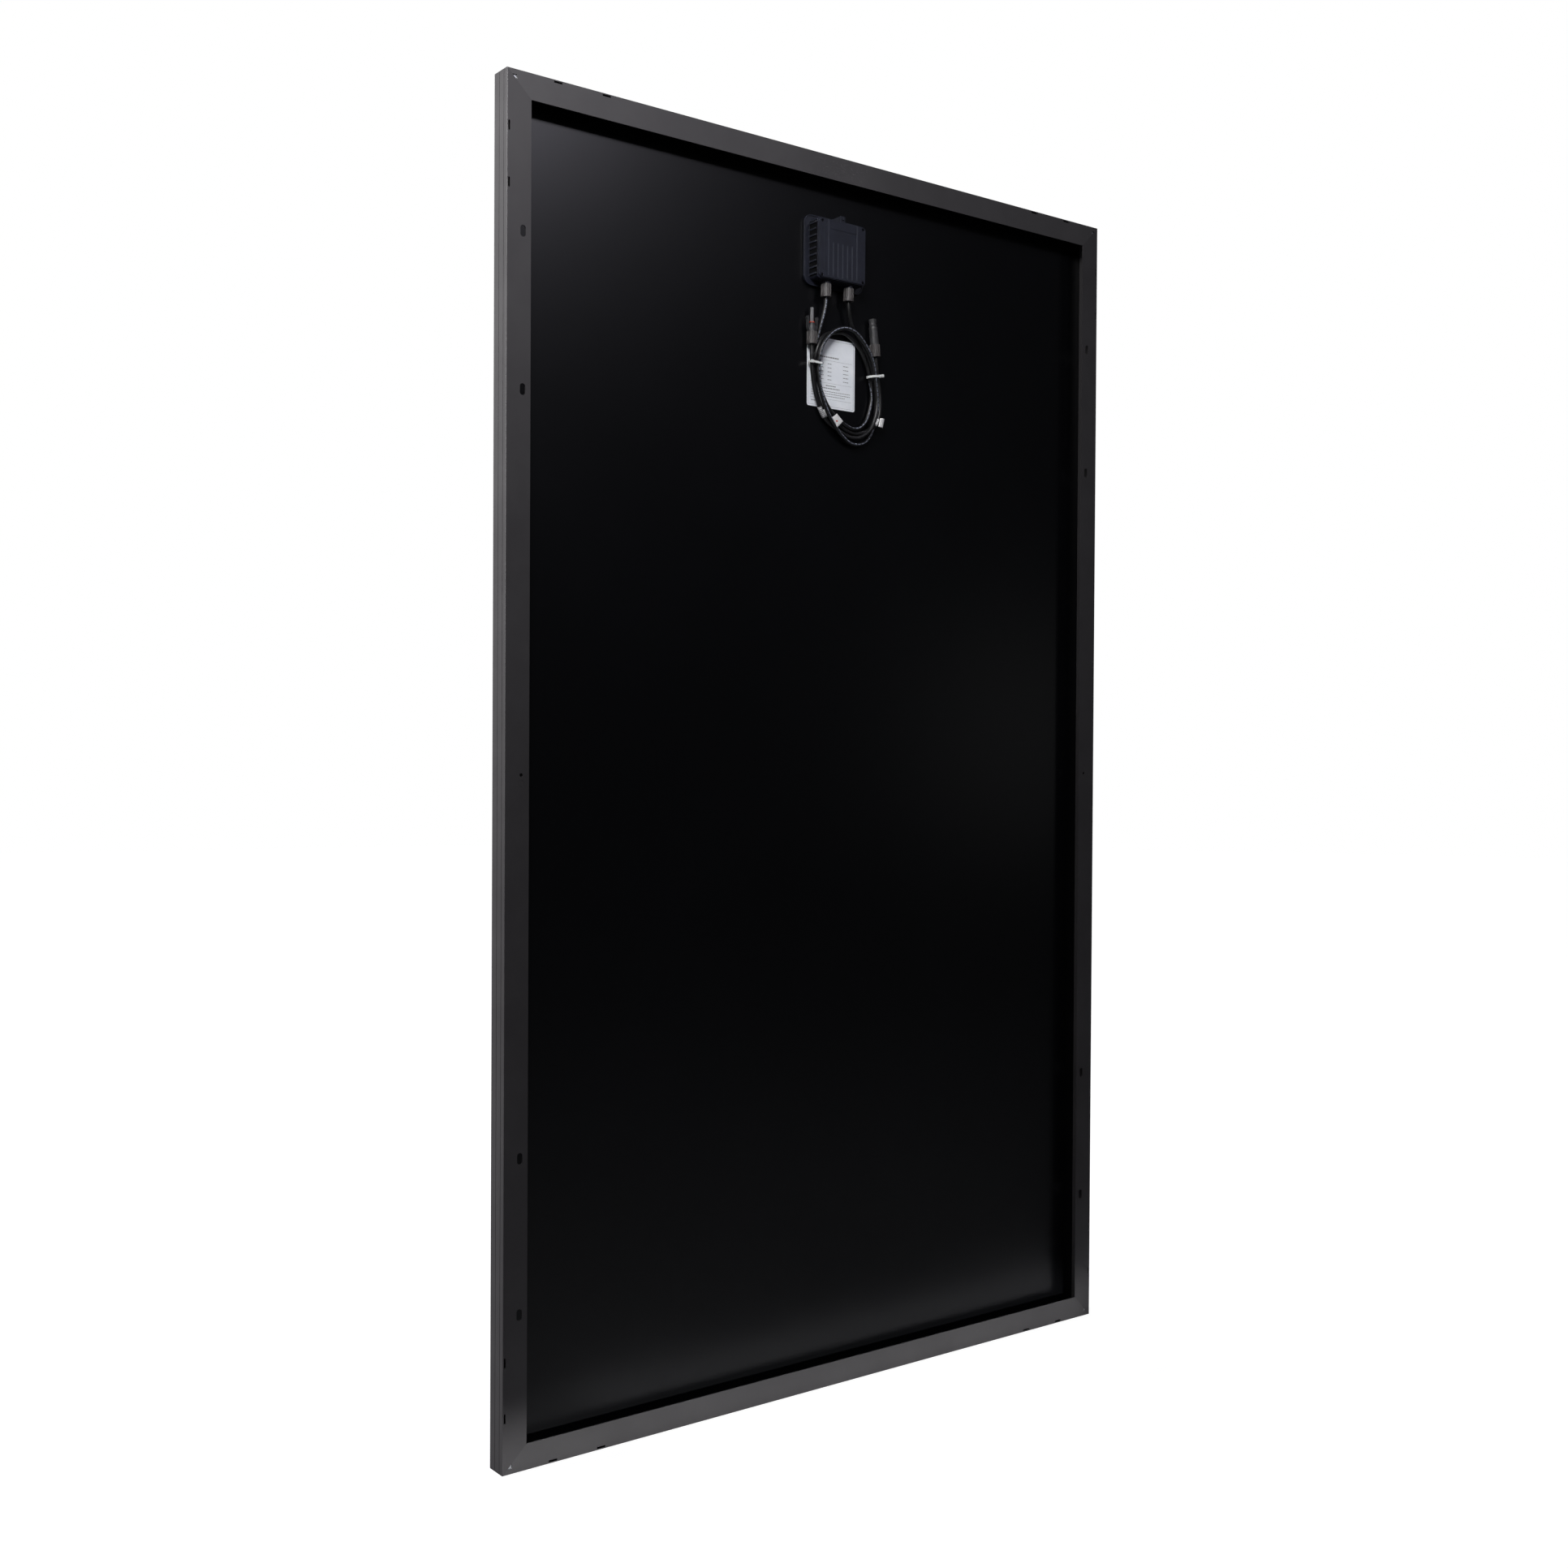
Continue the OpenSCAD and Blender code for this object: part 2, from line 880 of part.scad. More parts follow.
// Screw clamps that hold the cable cores on the outer plates
module cable_clamps() {
    up = rim_top + plate_t;
    z = body_low + body_wall + stub_up + clamp_l / 2;
    color("silver")
        for (x = [gland_left_x, gland_right_x])
            difference() {
                raise(up, up + clamp_t)
                    translate([x, z])
                        square([clamp_w, clamp_l], center = true);
                translate([x, sheet_y - gland_h, z - clamp_l])
                    cylinder(h = 2 * clamp_l, r = core_r, $fn = round_fn);
            }
}

// Held ends of both cables, from the seal to the clamp
module cable_ends() {
    top = body_low + body_wall + stub_up;
    color(cable_black)
        for (x = [gland_left_x, gland_right_x])
            translate([x, sheet_y - gland_h, 0]) {
                translate([0, 0, seal_low])
                    cylinder(h = top - seal_low, r = cable_r, $fn = round_fn);
                translate([0, 0, top])
                    cylinder(h = core_l, r = core_r, $fn = round_fn);
            }
}

module gland_seals() {
    color([0.2, 0.2, 0.2])
        for (x = [gland_left_x, gland_right_x])
            translate([x, sheet_y - gland_h, seal_low])
                difference() {
                    cylinder(h = seal_l, r = spout_bore_r - seal_play, $fn = round_fn);
                    translate([0, 0, -over])
                        cylinder(h = seal_l + 2 * over, r = cable_r + seal_play, $fn = round_fn);
                }
}

// Fluted cap nut, open end up, standing on Z = 0
module cap_nut(l, inner_r) {
    difference() {
        cylinder(h = l, r = nut_r, $fn = round_fn);
        translate([0, 0, nut_end_t])
            cylinder(h = l, r = inner_r, $fn = round_fn);
        translate([0, 0, -over])
            cylinder(h = nut_end_t + 2 * over, r = cable_r + nut_hole_play, $fn = round_fn);
        for (n = [0:flutes - 1])
            rotate(n * 360 / flutes)
                translate([nut_r + flute_out, 0, flute_up])
                    cylinder(h = l, r = flute_r, $fn = round_fn);
    }
}

module gland_nut(x) {
    color(nut_grey)
        translate([x, sheet_y - gland_h, body_low - nut_down - nut_l])
            cap_nut(nut_l, spout_r + nut_play);
}

module gland_nut_left() {
    gland_nut(gland_left_x);
}

module gland_nut_right() {
    gland_nut(gland_right_x);
}

// Raised field of the lid: a rectangle with its corners cut off around the screws
module lid_field() {
    half_w = lid_w / 2 - field_side;
    half_h = lid_h / 2 - field_end;
    cut = field_corner;
    polygon([
        [-half_w + cut, -half_h], [half_w - cut, -half_h], [half_w, -half_h + cut], [half_w, half_h - cut],
        [half_w - cut, half_h], [-half_w + cut, half_h], [-half_w, half_h - cut], [-half_w, -half_h + cut]
    ]);
}

// Lid with its raised field, ribs, sunk screw holes and pull lug
module box_lid() {
    rib_low = -lid_h / 2 + field_end;
    long_l = lid_h - 2 * field_end;
    field_top_h = lid_back + lid_t + lid_face_t - rib_t / 2;
    color(box_black)
        difference() {
            union() {
                raise(lid_back, lid_back + lid_t - lid_edge)
                    at_box()
                        rounded(lid_w, lid_h, lid_r);
                raise(lid_back, lid_back + lid_t)
                    at_box()
                        rounded(lid_w - 2 * lid_edge, lid_h - 2 * lid_edge, lid_r - lid_edge);
                difference() {
                    raise(lid_back, field_top_h)
                        at_box()
                            lid_field();
                    raise(field_top_h - field_sink, field_top_h + over)
                        at_box()
                            translate([-rib_side * rib_step, rib_low - over])
                                square([2 * rib_side * rib_step, over + long_l - field_sink_top]);
                }
                raise(lid_back, box_h)
                    at_box()
                        for (n = [-rib_side:rib_side])
                            translate([n * rib_step - rib_w / 2, rib_low])
                                square([rib_w, abs(n) == rib_side ? long_l : rib_short_l]);
                raise(lid_back, lid_back + lug_t)
                    at_box()
                        translate([-lug_w / 2, lid_h / 2 - lug_root])
                            square([lug_w, lug_up + lug_root]);
            }
            raise(lid_back - over, box_h + over)
                at_box() {
                    for (x = [-1, 1], z = [-1, 1])
                        translate([x * screw_x, z * screw_z])
                            circle(screw_r + lid_hole_play, $fn = round_fn);
                    translate([0, lug_z])
                        square([lug_hole_w, lug_hole_h], center = true);
                }
            raise(lid_back + screw_sunk, box_h + over)
                at_box()
                    for (x = [-1, 1], z = [-1, 1])
                        translate([x * screw_x, z * screw_z])
                            circle(screw_head_r + screw_head_play, $fn = round_fn);
        }
}

module lid_gasket() {
    color([0.25, 0.25, 0.26])
        raise(body_top, lid_back)
            at_box()
                difference() {
                    rounded(cavity_w + 2 * gasket_out, cavity_h + 2 * gasket_out, cavity_r + gasket_out);
                    rounded(cavity_w + 2 * gasket_in, cavity_h + 2 * gasket_in, cavity_r + gasket_in);
                    for (x = [-1, 1], z = [-1, 1])
                        translate([x * screw_x, z * screw_z])
                            circle(screw_r + screw_hole_play, $fn = round_fn);
                }
}

// Four captive screws with a cross recess
module lid_screws() {
    head = lid_back + screw_sunk;
    color([0.35, 0.35, 0.37])
        at_screws()
            difference() {
                union() {
                    raise(head, head + screw_head_t)
                        circle(screw_head_r, $fn = round_fn);
                    raise(body_top - screw_l + screw_tip, head)
                        circle(screw_r, $fn = round_fn);
                }
                raise(head + screw_head_t - screw_cross_deep, head + screw_head_t + over) {
                    square([screw_cross_l, screw_cross_w], center = true);
                    square([screw_cross_w, screw_cross_l], center = true);
                }
            }
}

module at_screws() {
    for (x = [-1, 1], z = [-1, 1])
        translate([box_x + x * screw_x, 0, box_z + z * screw_z])
            children();
}

// ---------- cables ----------

// Unit vector
function unit(v) = v / norm(v);

// Place of one route point
function place(p) = [box_x + p[0], sheet_y - p[1], box_z + p[2]];

// Direction of a route at one of its points
function heading(points, i) =
    unit(points[min(i + 1, len(points) - 1)] - points[max(i - 1, 0)]);

// Corner of the ring around one point of a route
function ring_corner(points, i, n) =
    let (
        along = heading(points, i),
        side = unit(cross(along, [0, 1, 0])),
        up = cross(side, along),
        turn = n * 360 / tube_sides
    )
    points[i] + cable_r * (cos(turn) * side + sin(turn) * up);

// Round tube along a route
module tube(route) {
    points = [for (p = route) place(p)];
    last = len(points) - 1;
    corners = [for (i = [0:last], n = [0:tube_sides - 1]) ring_corner(points, i, n)];
    walls = [
        for (i = [0:last - 1], n = [0:tube_sides - 1])
            let (m = (n + 1) % tube_sides, k = i * tube_sides)
            [k + n, k + m, k + tube_sides + m, k + tube_sides + n]
    ];
    first_end = [for (n = [tube_sides - 1:-1:0]) n];
    last_end = [for (n = [0:tube_sides - 1]) last * tube_sides + n];
    polyhedron(corners, concat(walls, [first_end, last_end]), convexity = 4);
}

module lead_left() {
    color(cable_black)
        tube(lead_left_route);
}

module lead_right() {
    color(cable_black)
        tube(lead_right_route);
}

module tail_left() {
    color(cable_black)
        tube(tail_left_route);
}

module tail_right() {
    color(cable_black)
        tube(tail_right_route);
}

// Leaning oval of the wound cables
function oval(x, z, a, b) = [
    for (n = [0:coil_steps - 1])
        let (t = n * 360 / coil_steps)
        [x + a * cos(t) - coil_skew * sin(t), z + b * sin(t)]
];

module cable_coil() {
    color(cable_black)
        raise(coil_h0, coil_h1)
            difference() {
                polygon(oval(coil_x, coil_z, coil_a, coil_b));
                polygon(oval(eye_x, eye_z, eye_a, eye_b));
            }
}

// ---------- connectors ----------

module at_plug() {
    translate([plug_x, sheet_y - conn_h, plug_z])
        children();
}

module at_socket() {
    translate([socket_x, sheet_y - conn_h, socket_z])
        rotate([0, socket_lean, 0])
            children();
}

// Part of a connector that its nut, seal and cable go into
module conn_root() {
    cylinder(h = conn_shoulder - conn_body_low, r = conn_body_r, $fn = round_fn);
}

// Bore for the seal, from below
module seal_bore() {
    translate([0, 0, -over])
        cylinder(h = conn_seal_top + over, r = conn_bore_r, $fn = round_fn);
}

module conn_seal() {
    translate([0, 0, conn_seal_low])
        difference() {
            cylinder(h = conn_seal_top - conn_seal_low, r = conn_bore_r - seal_play, $fn = round_fn);
            translate([0, 0, -over])
                cylinder(h = conn_seal_top, r = cable_r + seal_play, $fn = round_fn);
        }
}

// Springy latch arm with a barb at its tip, on the +X side
module latch_arm() {
    outline = [
        [arm_root, arm_low], [arm_out - arm_foot / 4, arm_low], [arm_out + arm_t / 2, arm_low + arm_foot],
        [arm_out + arm_t / 2, arm_top - barb_l], [arm_out + arm_t / 2 + arm_barb, arm_top - barb_l / 2],
        [arm_out + arm_t / 2, arm_top], [arm_out - arm_t / 2, arm_top],
        [arm_out - arm_t / 2, arm_low + arm_foot + 1], [arm_root, arm_low + arm_foot]
    ];
    rotate([90, 0, 0])
        linear_extrude(arm_w, center = true)
            polygon(outline);
}

module plug_body() {
    color(cable_black)
        at_plug()
            difference() {
                union() {
                    translate([0, 0, conn_body_low])
                        conn_root();
                    translate([0, 0, conn_shoulder])
                        cylinder(h = plug_collar_l, r = plug_collar_r, $fn = round_fn);
                    translate([0, 0, conn_shoulder])
                        cylinder(h = conn_body_top - conn_shoulder, r = plug_neck_r, $fn = round_fn);
                    latch_arm();
                    mirror([1, 0, 0])
                        latch_arm();
                }
                seal_bore();
                cylinder(h = plug_tube_low, r = contact_r, $fn = round_fn);
                translate([0, 0, plug_tube_low])
                    cylinder(h = conn_body_top, r = plug_groove_r, $fn = round_fn);
            }
}

module plug_tube() {
    color([0.55, 0.55, 0.56])
        at_plug()
            translate([0, 0, plug_tube_low])
                difference() {
                    union() {
                        cylinder(h = plug_groove_top - plug_tube_low, r = plug_groove_r, $fn = round_fn);
                        translate([0, 0, plug_groove_top - plug_tube_low])
                            cylinder(h = plug_tube_top - plug_groove_top, r = plug_tube_r, $fn = round_fn);
                    }
                    translate([0, 0, -over])
                        cylinder(h = plug_tube_top, r = plug_tube_bore, $fn = round_fn);
                }
}

module plug_contact() {
    color("gainsboro")
        at_plug()
            translate([0, 0, conn_seal_top])
                difference() {
                    cylinder(h = plug_contact_top - conn_seal_top, r = contact_r, $fn = round_fn);
                    translate([0, 0, plug_contact_top - conn_seal_top - plug_contact_deep])
                        cylinder(h = plug_contact_deep + over, r = plug_contact_bore, $fn = round_fn);
                }
}

module plug_ring() {
    color([0.8, 0.2, 0.12])
        at_plug()
            translate([0, 0, ring_up])
                rotate_extrude($fn = round_fn)
                    translate([plug_groove_r + ring_r, 0])
                        circle(ring_r, $fn = 24);
}

module plug_seal() {
    color([0.2, 0.2, 0.2])
        at_plug()
            conn_seal();
}

module plug_nut() {
    color(nut_grey)
        at_plug()
            cap_nut(conn_nut_l, conn_body_r + nut_play);
}

module socket_body() {
    color(cable_black)
        at_socket()
            difference() {
                union() {
                    translate([0, 0, conn_body_low])
                        conn_root();
                    translate([0, 0, conn_shoulder])
                        cylinder(h = window_up - window_step - conn_shoulder, r = socket_body_r, $fn = round_fn);
                    translate([0, 0, window_up - window_step])
                        cylinder(h = socket_collar_l, r = socket_collar_r, $fn = round_fn);
                    translate([0, 0, window_up])
                        cylinder(h = socket_top - window_up, r = socket_r, $fn = round_fn);
                }
                seal_bore();
                cylinder(h = socket_bore_low, r = contact_r, $fn = round_fn);
                translate([0, 0, socket_bore_low])
                    cylinder(h = socket_top, r = socket_bore_r, $fn = round_fn);
                translate([0, 0, socket_top - socket_mouth_l])
                    cylinder(h = socket_mouth_l + over, r = socket_mouth_r, $fn = round_fn);
                for (side = [-1, 1])
                    translate([side * (socket_r + window_out), 0, window_up + window_h / 2 - window_down])
                        cube([window_deep, window_w, window_l], center = true);
            }
}

module socket_contact() {
    color("gainsboro")
        at_socket() {
            translate([0, 0, conn_seal_top])
                cylinder(h = socket_bore_low - conn_seal_top, r = contact_r, $fn = round_fn);
            translate([0, 0, socket_bore_low])
                cylinder(h = socket_pin_top - socket_bore_low, r = socket_pin_r, $fn = round_fn);
        }
}

module socket_seal() {
    color([0.2, 0.2, 0.2])
        at_socket()
            conn_seal();
}

module socket_nut() {
    color(nut_grey)
        at_socket()
            cap_nut(conn_nut_l, conn_body_r + nut_play);
}

// ---------- ties and labels ----------

// Band around the wound cables with its locking head at the low or high end of X
module tie(x0, x1, z, lean, head_side) {
    middle = (x0 + x1) / 2;
    half = (x1 - x0) / 2;
    h0 = coil_h0 - tie_play;
    h1 = coil_h1 + tie_play;
    translate([middle, 0, z])
        rotate([0, -lean, 0])
            linear_extrude(tie_w, center = true)
                translate([0, sheet_y]) {
                    difference() {
                        translate([-half - tie_t, -h1 - tie_t])
                            square([2 * half + 2 * tie_t, h1 - h0 + 2 * tie_t]);
                        translate([-half, -h1])
                            square([2 * half, h1 - h0]);
                    }
                    translate([head_side * half - tie_head_l / 2, -h1 - tie_head_t])
                        square([tie_head_l, tie_head_t]);
                }
}

module tie_left() {
    color("white")
        tie(tie_left_x0, tie_left_x1, tie_left_z, tie_left_lean, -1);
}

module tie_right() {
    color("white")
        tie(tie_right_x0, tie_right_x1, tie_right_z, tie_right_lean, 1);
}

// Flat label on the coil's front, given from the box's middle
module flag(x, z, w, h, turn) {
    raise(flag_h0, flag_h0 + flag_t)
        translate([box_x + x, box_z + z])
            rotate(turn)
                square([w, h], center = true);
}

module wrap_label_left() {
    color("white")
        flag(-21.3, -219, 5.6, 17, 31);
}

module flag_label_left() {
    color("white") {
        flag(-10.8, -216, 5, 13, 36);
        flag(3.2, -227.3, 14, 13, 38);
    }
}

module flag_label_right() {
    color("white") {
        flag(81.7, -221.7, 8, 13, -10);
        flag(72.2, -221, 3, 12, -18);
    }
}

rail_left();
rail_right();
rail_top();
rail_bottom();
corner_keys();
edge_seal();
front_glass();
front_encapsulant();
solar_cells();
cell_ribbons();
bus_ribbons();
box_leads();
rear_encapsulant();
backsheet();
rating_label();
box_adhesive();
box_base();
terminal_plates();
bypass_diodes();
ribbon_clips();
cable_clamps();
cable_ends();
gland_seals();
gland_nut_left();
gland_nut_right();
box_lid();
lid_gasket();
lid_screws();
lead_left();
lead_right();
cable_coil();
tail_left();
tail_right();
plug_body();
plug_tube();
plug_contact();
plug_ring();
plug_seal();
plug_nut();
socket_body();
socket_contact();
socket_seal();
socket_nut();
tie_left();
tie_right();
wrap_label_left();
flag_label_left();
flag_label_right();
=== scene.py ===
# %% [markdown]
# # A framed solar panel, finished for pictures
# The exact parts of the panel come from its CAD model. This lesson gives every part its finish,
# and replaces the parts that CAD keeps plain, such as the wound leads and the ties, with detailed ones.
# Places are in metres, and small sizes are millimetres times MM. X runs along the width, Y from the back
# to the glass, and Z up.

import math

import bmesh
import bpy
from mathutils import Matrix, Vector


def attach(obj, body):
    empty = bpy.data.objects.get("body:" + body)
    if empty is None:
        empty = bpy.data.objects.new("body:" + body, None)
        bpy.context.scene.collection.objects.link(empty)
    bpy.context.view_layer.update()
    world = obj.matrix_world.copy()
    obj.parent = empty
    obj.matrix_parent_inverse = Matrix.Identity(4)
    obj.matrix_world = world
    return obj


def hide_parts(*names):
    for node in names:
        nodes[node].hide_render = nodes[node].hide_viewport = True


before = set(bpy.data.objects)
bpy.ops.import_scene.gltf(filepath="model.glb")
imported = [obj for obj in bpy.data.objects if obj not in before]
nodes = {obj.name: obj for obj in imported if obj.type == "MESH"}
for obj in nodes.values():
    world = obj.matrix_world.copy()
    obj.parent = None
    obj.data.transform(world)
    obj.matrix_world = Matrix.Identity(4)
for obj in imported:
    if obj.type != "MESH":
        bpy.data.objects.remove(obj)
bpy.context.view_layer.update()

# %% [markdown]
# ## Camera
# The panel is looked at from behind and from its left, level with its middle. A lens of about 40 mm keeps
# the perspective of a product picture. The camera is turned by three angles, and a small shift moves the
# picture without turning the camera, so the long rails stay almost upright.

# %% Camera
MM = 0.001
camera_place = Vector((-1.47466, -1.91, 0.86523))
around, rise, roll = (math.radians(a) for a in (-38.66, 0.73, 0.35))
back = Vector((math.sin(around) * math.cos(rise), -math.cos(around) * math.cos(rise), math.sin(rise)))
level = (-back).cross(Vector((0, 0, 1))).normalized()
upright = level.cross(-back)
right = math.cos(roll) * level + math.sin(roll) * upright
up = math.cos(roll) * upright - math.sin(roll) * level
camera_data = bpy.data.cameras.new("camera")
camera_data.sensor_width = 36
camera_data.lens = 40.36
camera_data.shift_x = -0.0487
camera_data.shift_y = -0.0049
camera_data.clip_end = 60
camera = bpy.data.objects.new("camera", camera_data)
camera.matrix_world = Matrix.Translation(camera_place) @ Matrix((right, up, back)).transposed().to_4x4()
bpy.context.scene.collection.objects.link(camera)
bpy.context.scene.camera = camera
print("camera at", tuple(round(c, 3) for c in camera_place))

# %% [markdown]
# ## Places behind the panel
# The junction box's middle is the start of all measures behind the panel: X to the right, the height
# above the backsheet towards the back, and Z up. One function turns such a place into a point.

# %% Junction box place
# The box's middle, and the outer face of the backsheet, in millimetres.
BOX_X, BOX_Z, SHEET_Y = 5.8, 1549.5, 9.5


def at(x, height, z):
    """The point, in metres, of a place measured in millimetres from the box's middle."""
    return Vector(((BOX_X + x) * MM, (SHEET_Y - height) * MM, (BOX_Z + z) * MM))


print("box middle on the backsheet:", tuple(at(0, 0, 0)))

# %% [markdown]
# ## The two leads
# Each lead is one round cable. It leaves its gland, is wound one and a half times around a leaning oval,
# and ends in its connector. The free ends follow the same points as the CAD model. The turns are made by a
# loop that walks around the oval. Each station gives the angle, how far out the cable runs there as a share
# of the oval, and its height above the backsheet, so that crossing turns pass over each other.

# %% Turns around the oval
# The oval's middle, its half width and half height, and how far its top leans, in millimetres.
OVAL_X, OVAL_Z, OVAL_A, OVAL_B, OVAL_LEAN = 24, -178, 55.5, 80.5, 9.5
CABLE_R = 2.7 * MM
# Where the socket connector begins.
SOCKET_FOOT = (69.82, 8, -118.1)


def between(p0, p1, p2, p3, t):
    """A smooth curve from p1 to p2 that heads from p0 and towards p3."""
    a, b, c = 2 * p1, p2 - p0, 2 * p0 - 5 * p1 + 4 * p2 - p3
    return 0.5 * (a + b * t + c * t * t + (3 * p1 - p0 - 3 * p2 + p3) * t**3)


def smooth_line(points, step):
    """Points about a step apart on a smooth curve through the given ones."""
    line = []
    ends = [2 * points[0] - points[1], *points, 2 * points[-1] - points[-2]]
    for p0, p1, p2, p3 in zip(ends, ends[1:], ends[2:], ends[3:]):
        n = max(1, round((p2 - p1).length / step))
        line += [between(p0, p1, p2, p3, i / n) for i in range(n)]
    return line + [points[-1].copy()]


def turns(stations):
    """Points around the oval from stations of an angle, a share of the oval and a height."""
    points = []
    for degrees, share, height in stations:
        t = math.radians(degrees)
        x = OVAL_X + share * (OVAL_A * math.cos(t) - OVAL_LEAN * math.sin(t))
        points.append(at(x, height, OVAL_Z + share * OVAL_B * math.sin(t)))
    return points


def eased(points, passes):
    """The same points with their corners eased, and both ends kept."""
    for _ in range(passes):
        inner = [(a + 2 * b + c) / 4 for a, b, c in zip(points, points[1:], points[2:])]
        points = points[:2] + inner[1:-1] + points[-2:]
    return points


# %% Route of the lead with the socket
socket_route = [at(*p) for p in (
    (-19.5, 12, -57.5), (-19.5, 12, -66), (-20, 11.8, -74), (-22, 11, -84), (-25, 9, -98),
    (-28, 6.5, -113), (-30, 4.5, -127), (-30, 4.3, -139), (-28.8, 4.2, -150), (-28, 4.2, -160))]
socket_route += turns((
    (178, 0.885, 4), (190, 0.835, 4), (202, 0.79, 4), (214, 0.755, 4.3), (227, 0.715, 5), (245, 0.69, 6),
    (260, 0.69, 6), (272, 0.708, 6), (288, 0.725, 5.5), (304, 0.735, 5), (320, 0.74, 4.5), (337, 0.75, 4),
    (348, 0.77, 4), (360, 0.784, 4), (370, 0.79, 4), (380, 0.8, 4), (392, 0.82, 4), (405, 0.842, 4.2),
    (420, 0.87, 4.6), (437, 0.89, 5), (452, 0.913, 5.5), (474, 0.95, 6.5), (487, 1.015, 7.6),
    (499, 1.055, 9.4), (509, 1.07, 9.9), (518, 1.06, 7.5), (526, 1.03, 4.4), (536, 1.012, 4),
    (547, 1, 4), (558, 0.978, 4), (568, 0.945, 4), (580, 0.875, 4), (592, 0.8, 4), (604, 0.76, 4),
    (620, 0.758, 4), (636, 0.785, 4), (648, 0.805, 4), (660, 0.84, 4.2), (672, 0.895, 5.4),
    (684, 0.96, 8.2), (697, 0.995, 8.4)))
socket_route += [at(*p) for p in (
    (80, 7.6, -188), (79, 7.4, -178), (77, 7.5, -167), (74.6, 7.8, -156), (73, 8, -145),
    (71.9, 8, -136), (70.9, 8, -127.4), SOCKET_FOOT)]

# %% Route of the lead with the plug
plug_route = [at(*p) for p in (
    (19.5, 12, -57.5), (19.5, 12, -66), (20.5, 11.8, -74), (22.5, 11, -83), (26, 9.8, -91),
    (31, 8, -98.5), (38, 7, -105), (45.5, 6.5, -112))]
plug_route += turns((
    (40, 0.95, 5.4), (28, 0.94, 4), (16, 0.925, 3.4), (0, 0.92, 3.2), (-20, 0.938, 3), (-38, 0.975, 3),
    (-58, 0.99, 4), (-75, 0.98, 5), (-94, 0.96, 6), (-109, 0.925, 7.5), (-122, 0.91, 9), (-135, 0.908, 10),
    (-149, 0.915, 10), (-161, 0.918, 9.7), (-173, 0.93, 9.6), (-186, 0.947, 9.6), (-197, 0.97, 9.9),
    (-208, 0.99, 12), (-221, 0.994, 12.8), (-236, 0.97, 12.6), (-250, 0.968, 12), (-266, 0.977, 11.8),
    (-279, 0.985, 12.6), (-291, 0.978, 13), (-307, 0.952, 13), (-320, 0.938, 12.6), (-332, 0.925, 11.4),
    (-342, 0.89, 10.2), (-351, 0.868, 9.8), (-360, 0.868, 9.6), (-370, 0.88, 9.6), (-383, 0.882, 9.8),
    (-401, 0.87, 10.8), (-417, 0.868, 10.6), (-437, 0.865, 8), (-456, 0.855, 6), (-470, 0.85, 4.8),
    (-482, 0.865, 4.2), (-491, 0.915, 4.1), (-499, 0.975, 4.3), (-511, 1.03, 5.4), (-522, 1.055, 6.6)))
plug_route += [at(*p) for p in (
    (-33.8, 7, -190), (-36.2, 7, -179), (-38.2, 7.4, -167), (-39.6, 7.8, -155), (-40.2, 8, -144),
    (-40.3, 8, -134), (-40.3, 8, -125), (-40.3, 8, -116.5))]


def length_of(line):
    """The length along a line of points."""
    return sum((b - a).length for a, b in zip(line, line[1:]))


LINE_STEP, EASING = 2.6 * MM, 4
socket_line = eased(smooth_line(socket_route, LINE_STEP), EASING)
plug_line = eased(smooth_line(plug_route, LINE_STEP), EASING)
print("lead lengths:", round(length_of(socket_line), 3), round(length_of(plug_line), 3))

# %% [markdown]
# ## Shared effects
# Real finishes are never one flat value. Two node groups are built once and then placed in the materials
# that need them. The first one puts fine grain on a surface, which can be drawn out along X or Z. The
# second one softly mottles the colour and the roughness.

# %% Node group helper


def new_group(name, inputs, outputs):
    """An empty shader group with named sockets, and its two end nodes."""
    tree = bpy.data.node_groups.new(name, "ShaderNodeTree")
    for label, kind, value in inputs:
        socket = tree.interface.new_socket(label, in_out="INPUT", socket_type=kind)
        socket.default_value = value
    for label, kind in outputs:
        tree.interface.new_socket(label, in_out="OUTPUT", socket_type=kind)
    return tree, tree.nodes.new("NodeGroupInput"), tree.nodes.new("NodeGroupOutput")


def add(tree, kind, **values):
    """A new node with its properties and its socket values set by name."""
    node = tree.nodes.new(kind)
    for label, value in values.items():
        if hasattr(node, label):
            setattr(node, label, value)
        else:
            node.inputs[label.replace("_", " ")].default_value = value
    return node


def maths(tree, operation, first, second=None, clamp=False):
    """A maths node fed by sockets or plain numbers; gives its result's socket."""
    node = tree.nodes.new("ShaderNodeMath")
    node.operation = operation
    node.use_clamp = clamp
    for i, value in enumerate((first, second)):
        if value is None:
            continue
        if isinstance(value, (int, float)):
            node.inputs[i].default_value = value
        else:
            tree.links.new(value, node.inputs[i])
    return node.outputs[0]


# %% Group: grain
FLOAT, COLOUR, VECTOR = "NodeSocketFloat", "NodeSocketColor", "NodeSocketVector"
grain, g_in, g_out = new_group(
    "grain",
    [("Scale", FLOAT, 900.0), ("Depth", FLOAT, 0.2), ("Along X", FLOAT, 1.0), ("Along Z", FLOAT, 1.0)],
    [("Normal", VECTOR)])
place = add(grain, "ShaderNodeTexCoord")
stretch = add(grain, "ShaderNodeCombineXYZ", Y=1.0)
grain.links.new(g_in.outputs["Along X"], stretch.inputs["X"])
grain.links.new(g_in.outputs["Along Z"], stretch.inputs["Z"])
scaled = add(grain, "ShaderNodeVectorMath", operation="MULTIPLY")
grain.links.new(place.outputs["Object"], scaled.inputs[0])
grain.links.new(stretch.outputs[0], scaled.inputs[1])
noise = add(grain, "ShaderNodeTexNoise", Detail=3.0, Roughness=0.6)
grain.links.new(scaled.outputs[0], noise.inputs["Vector"])
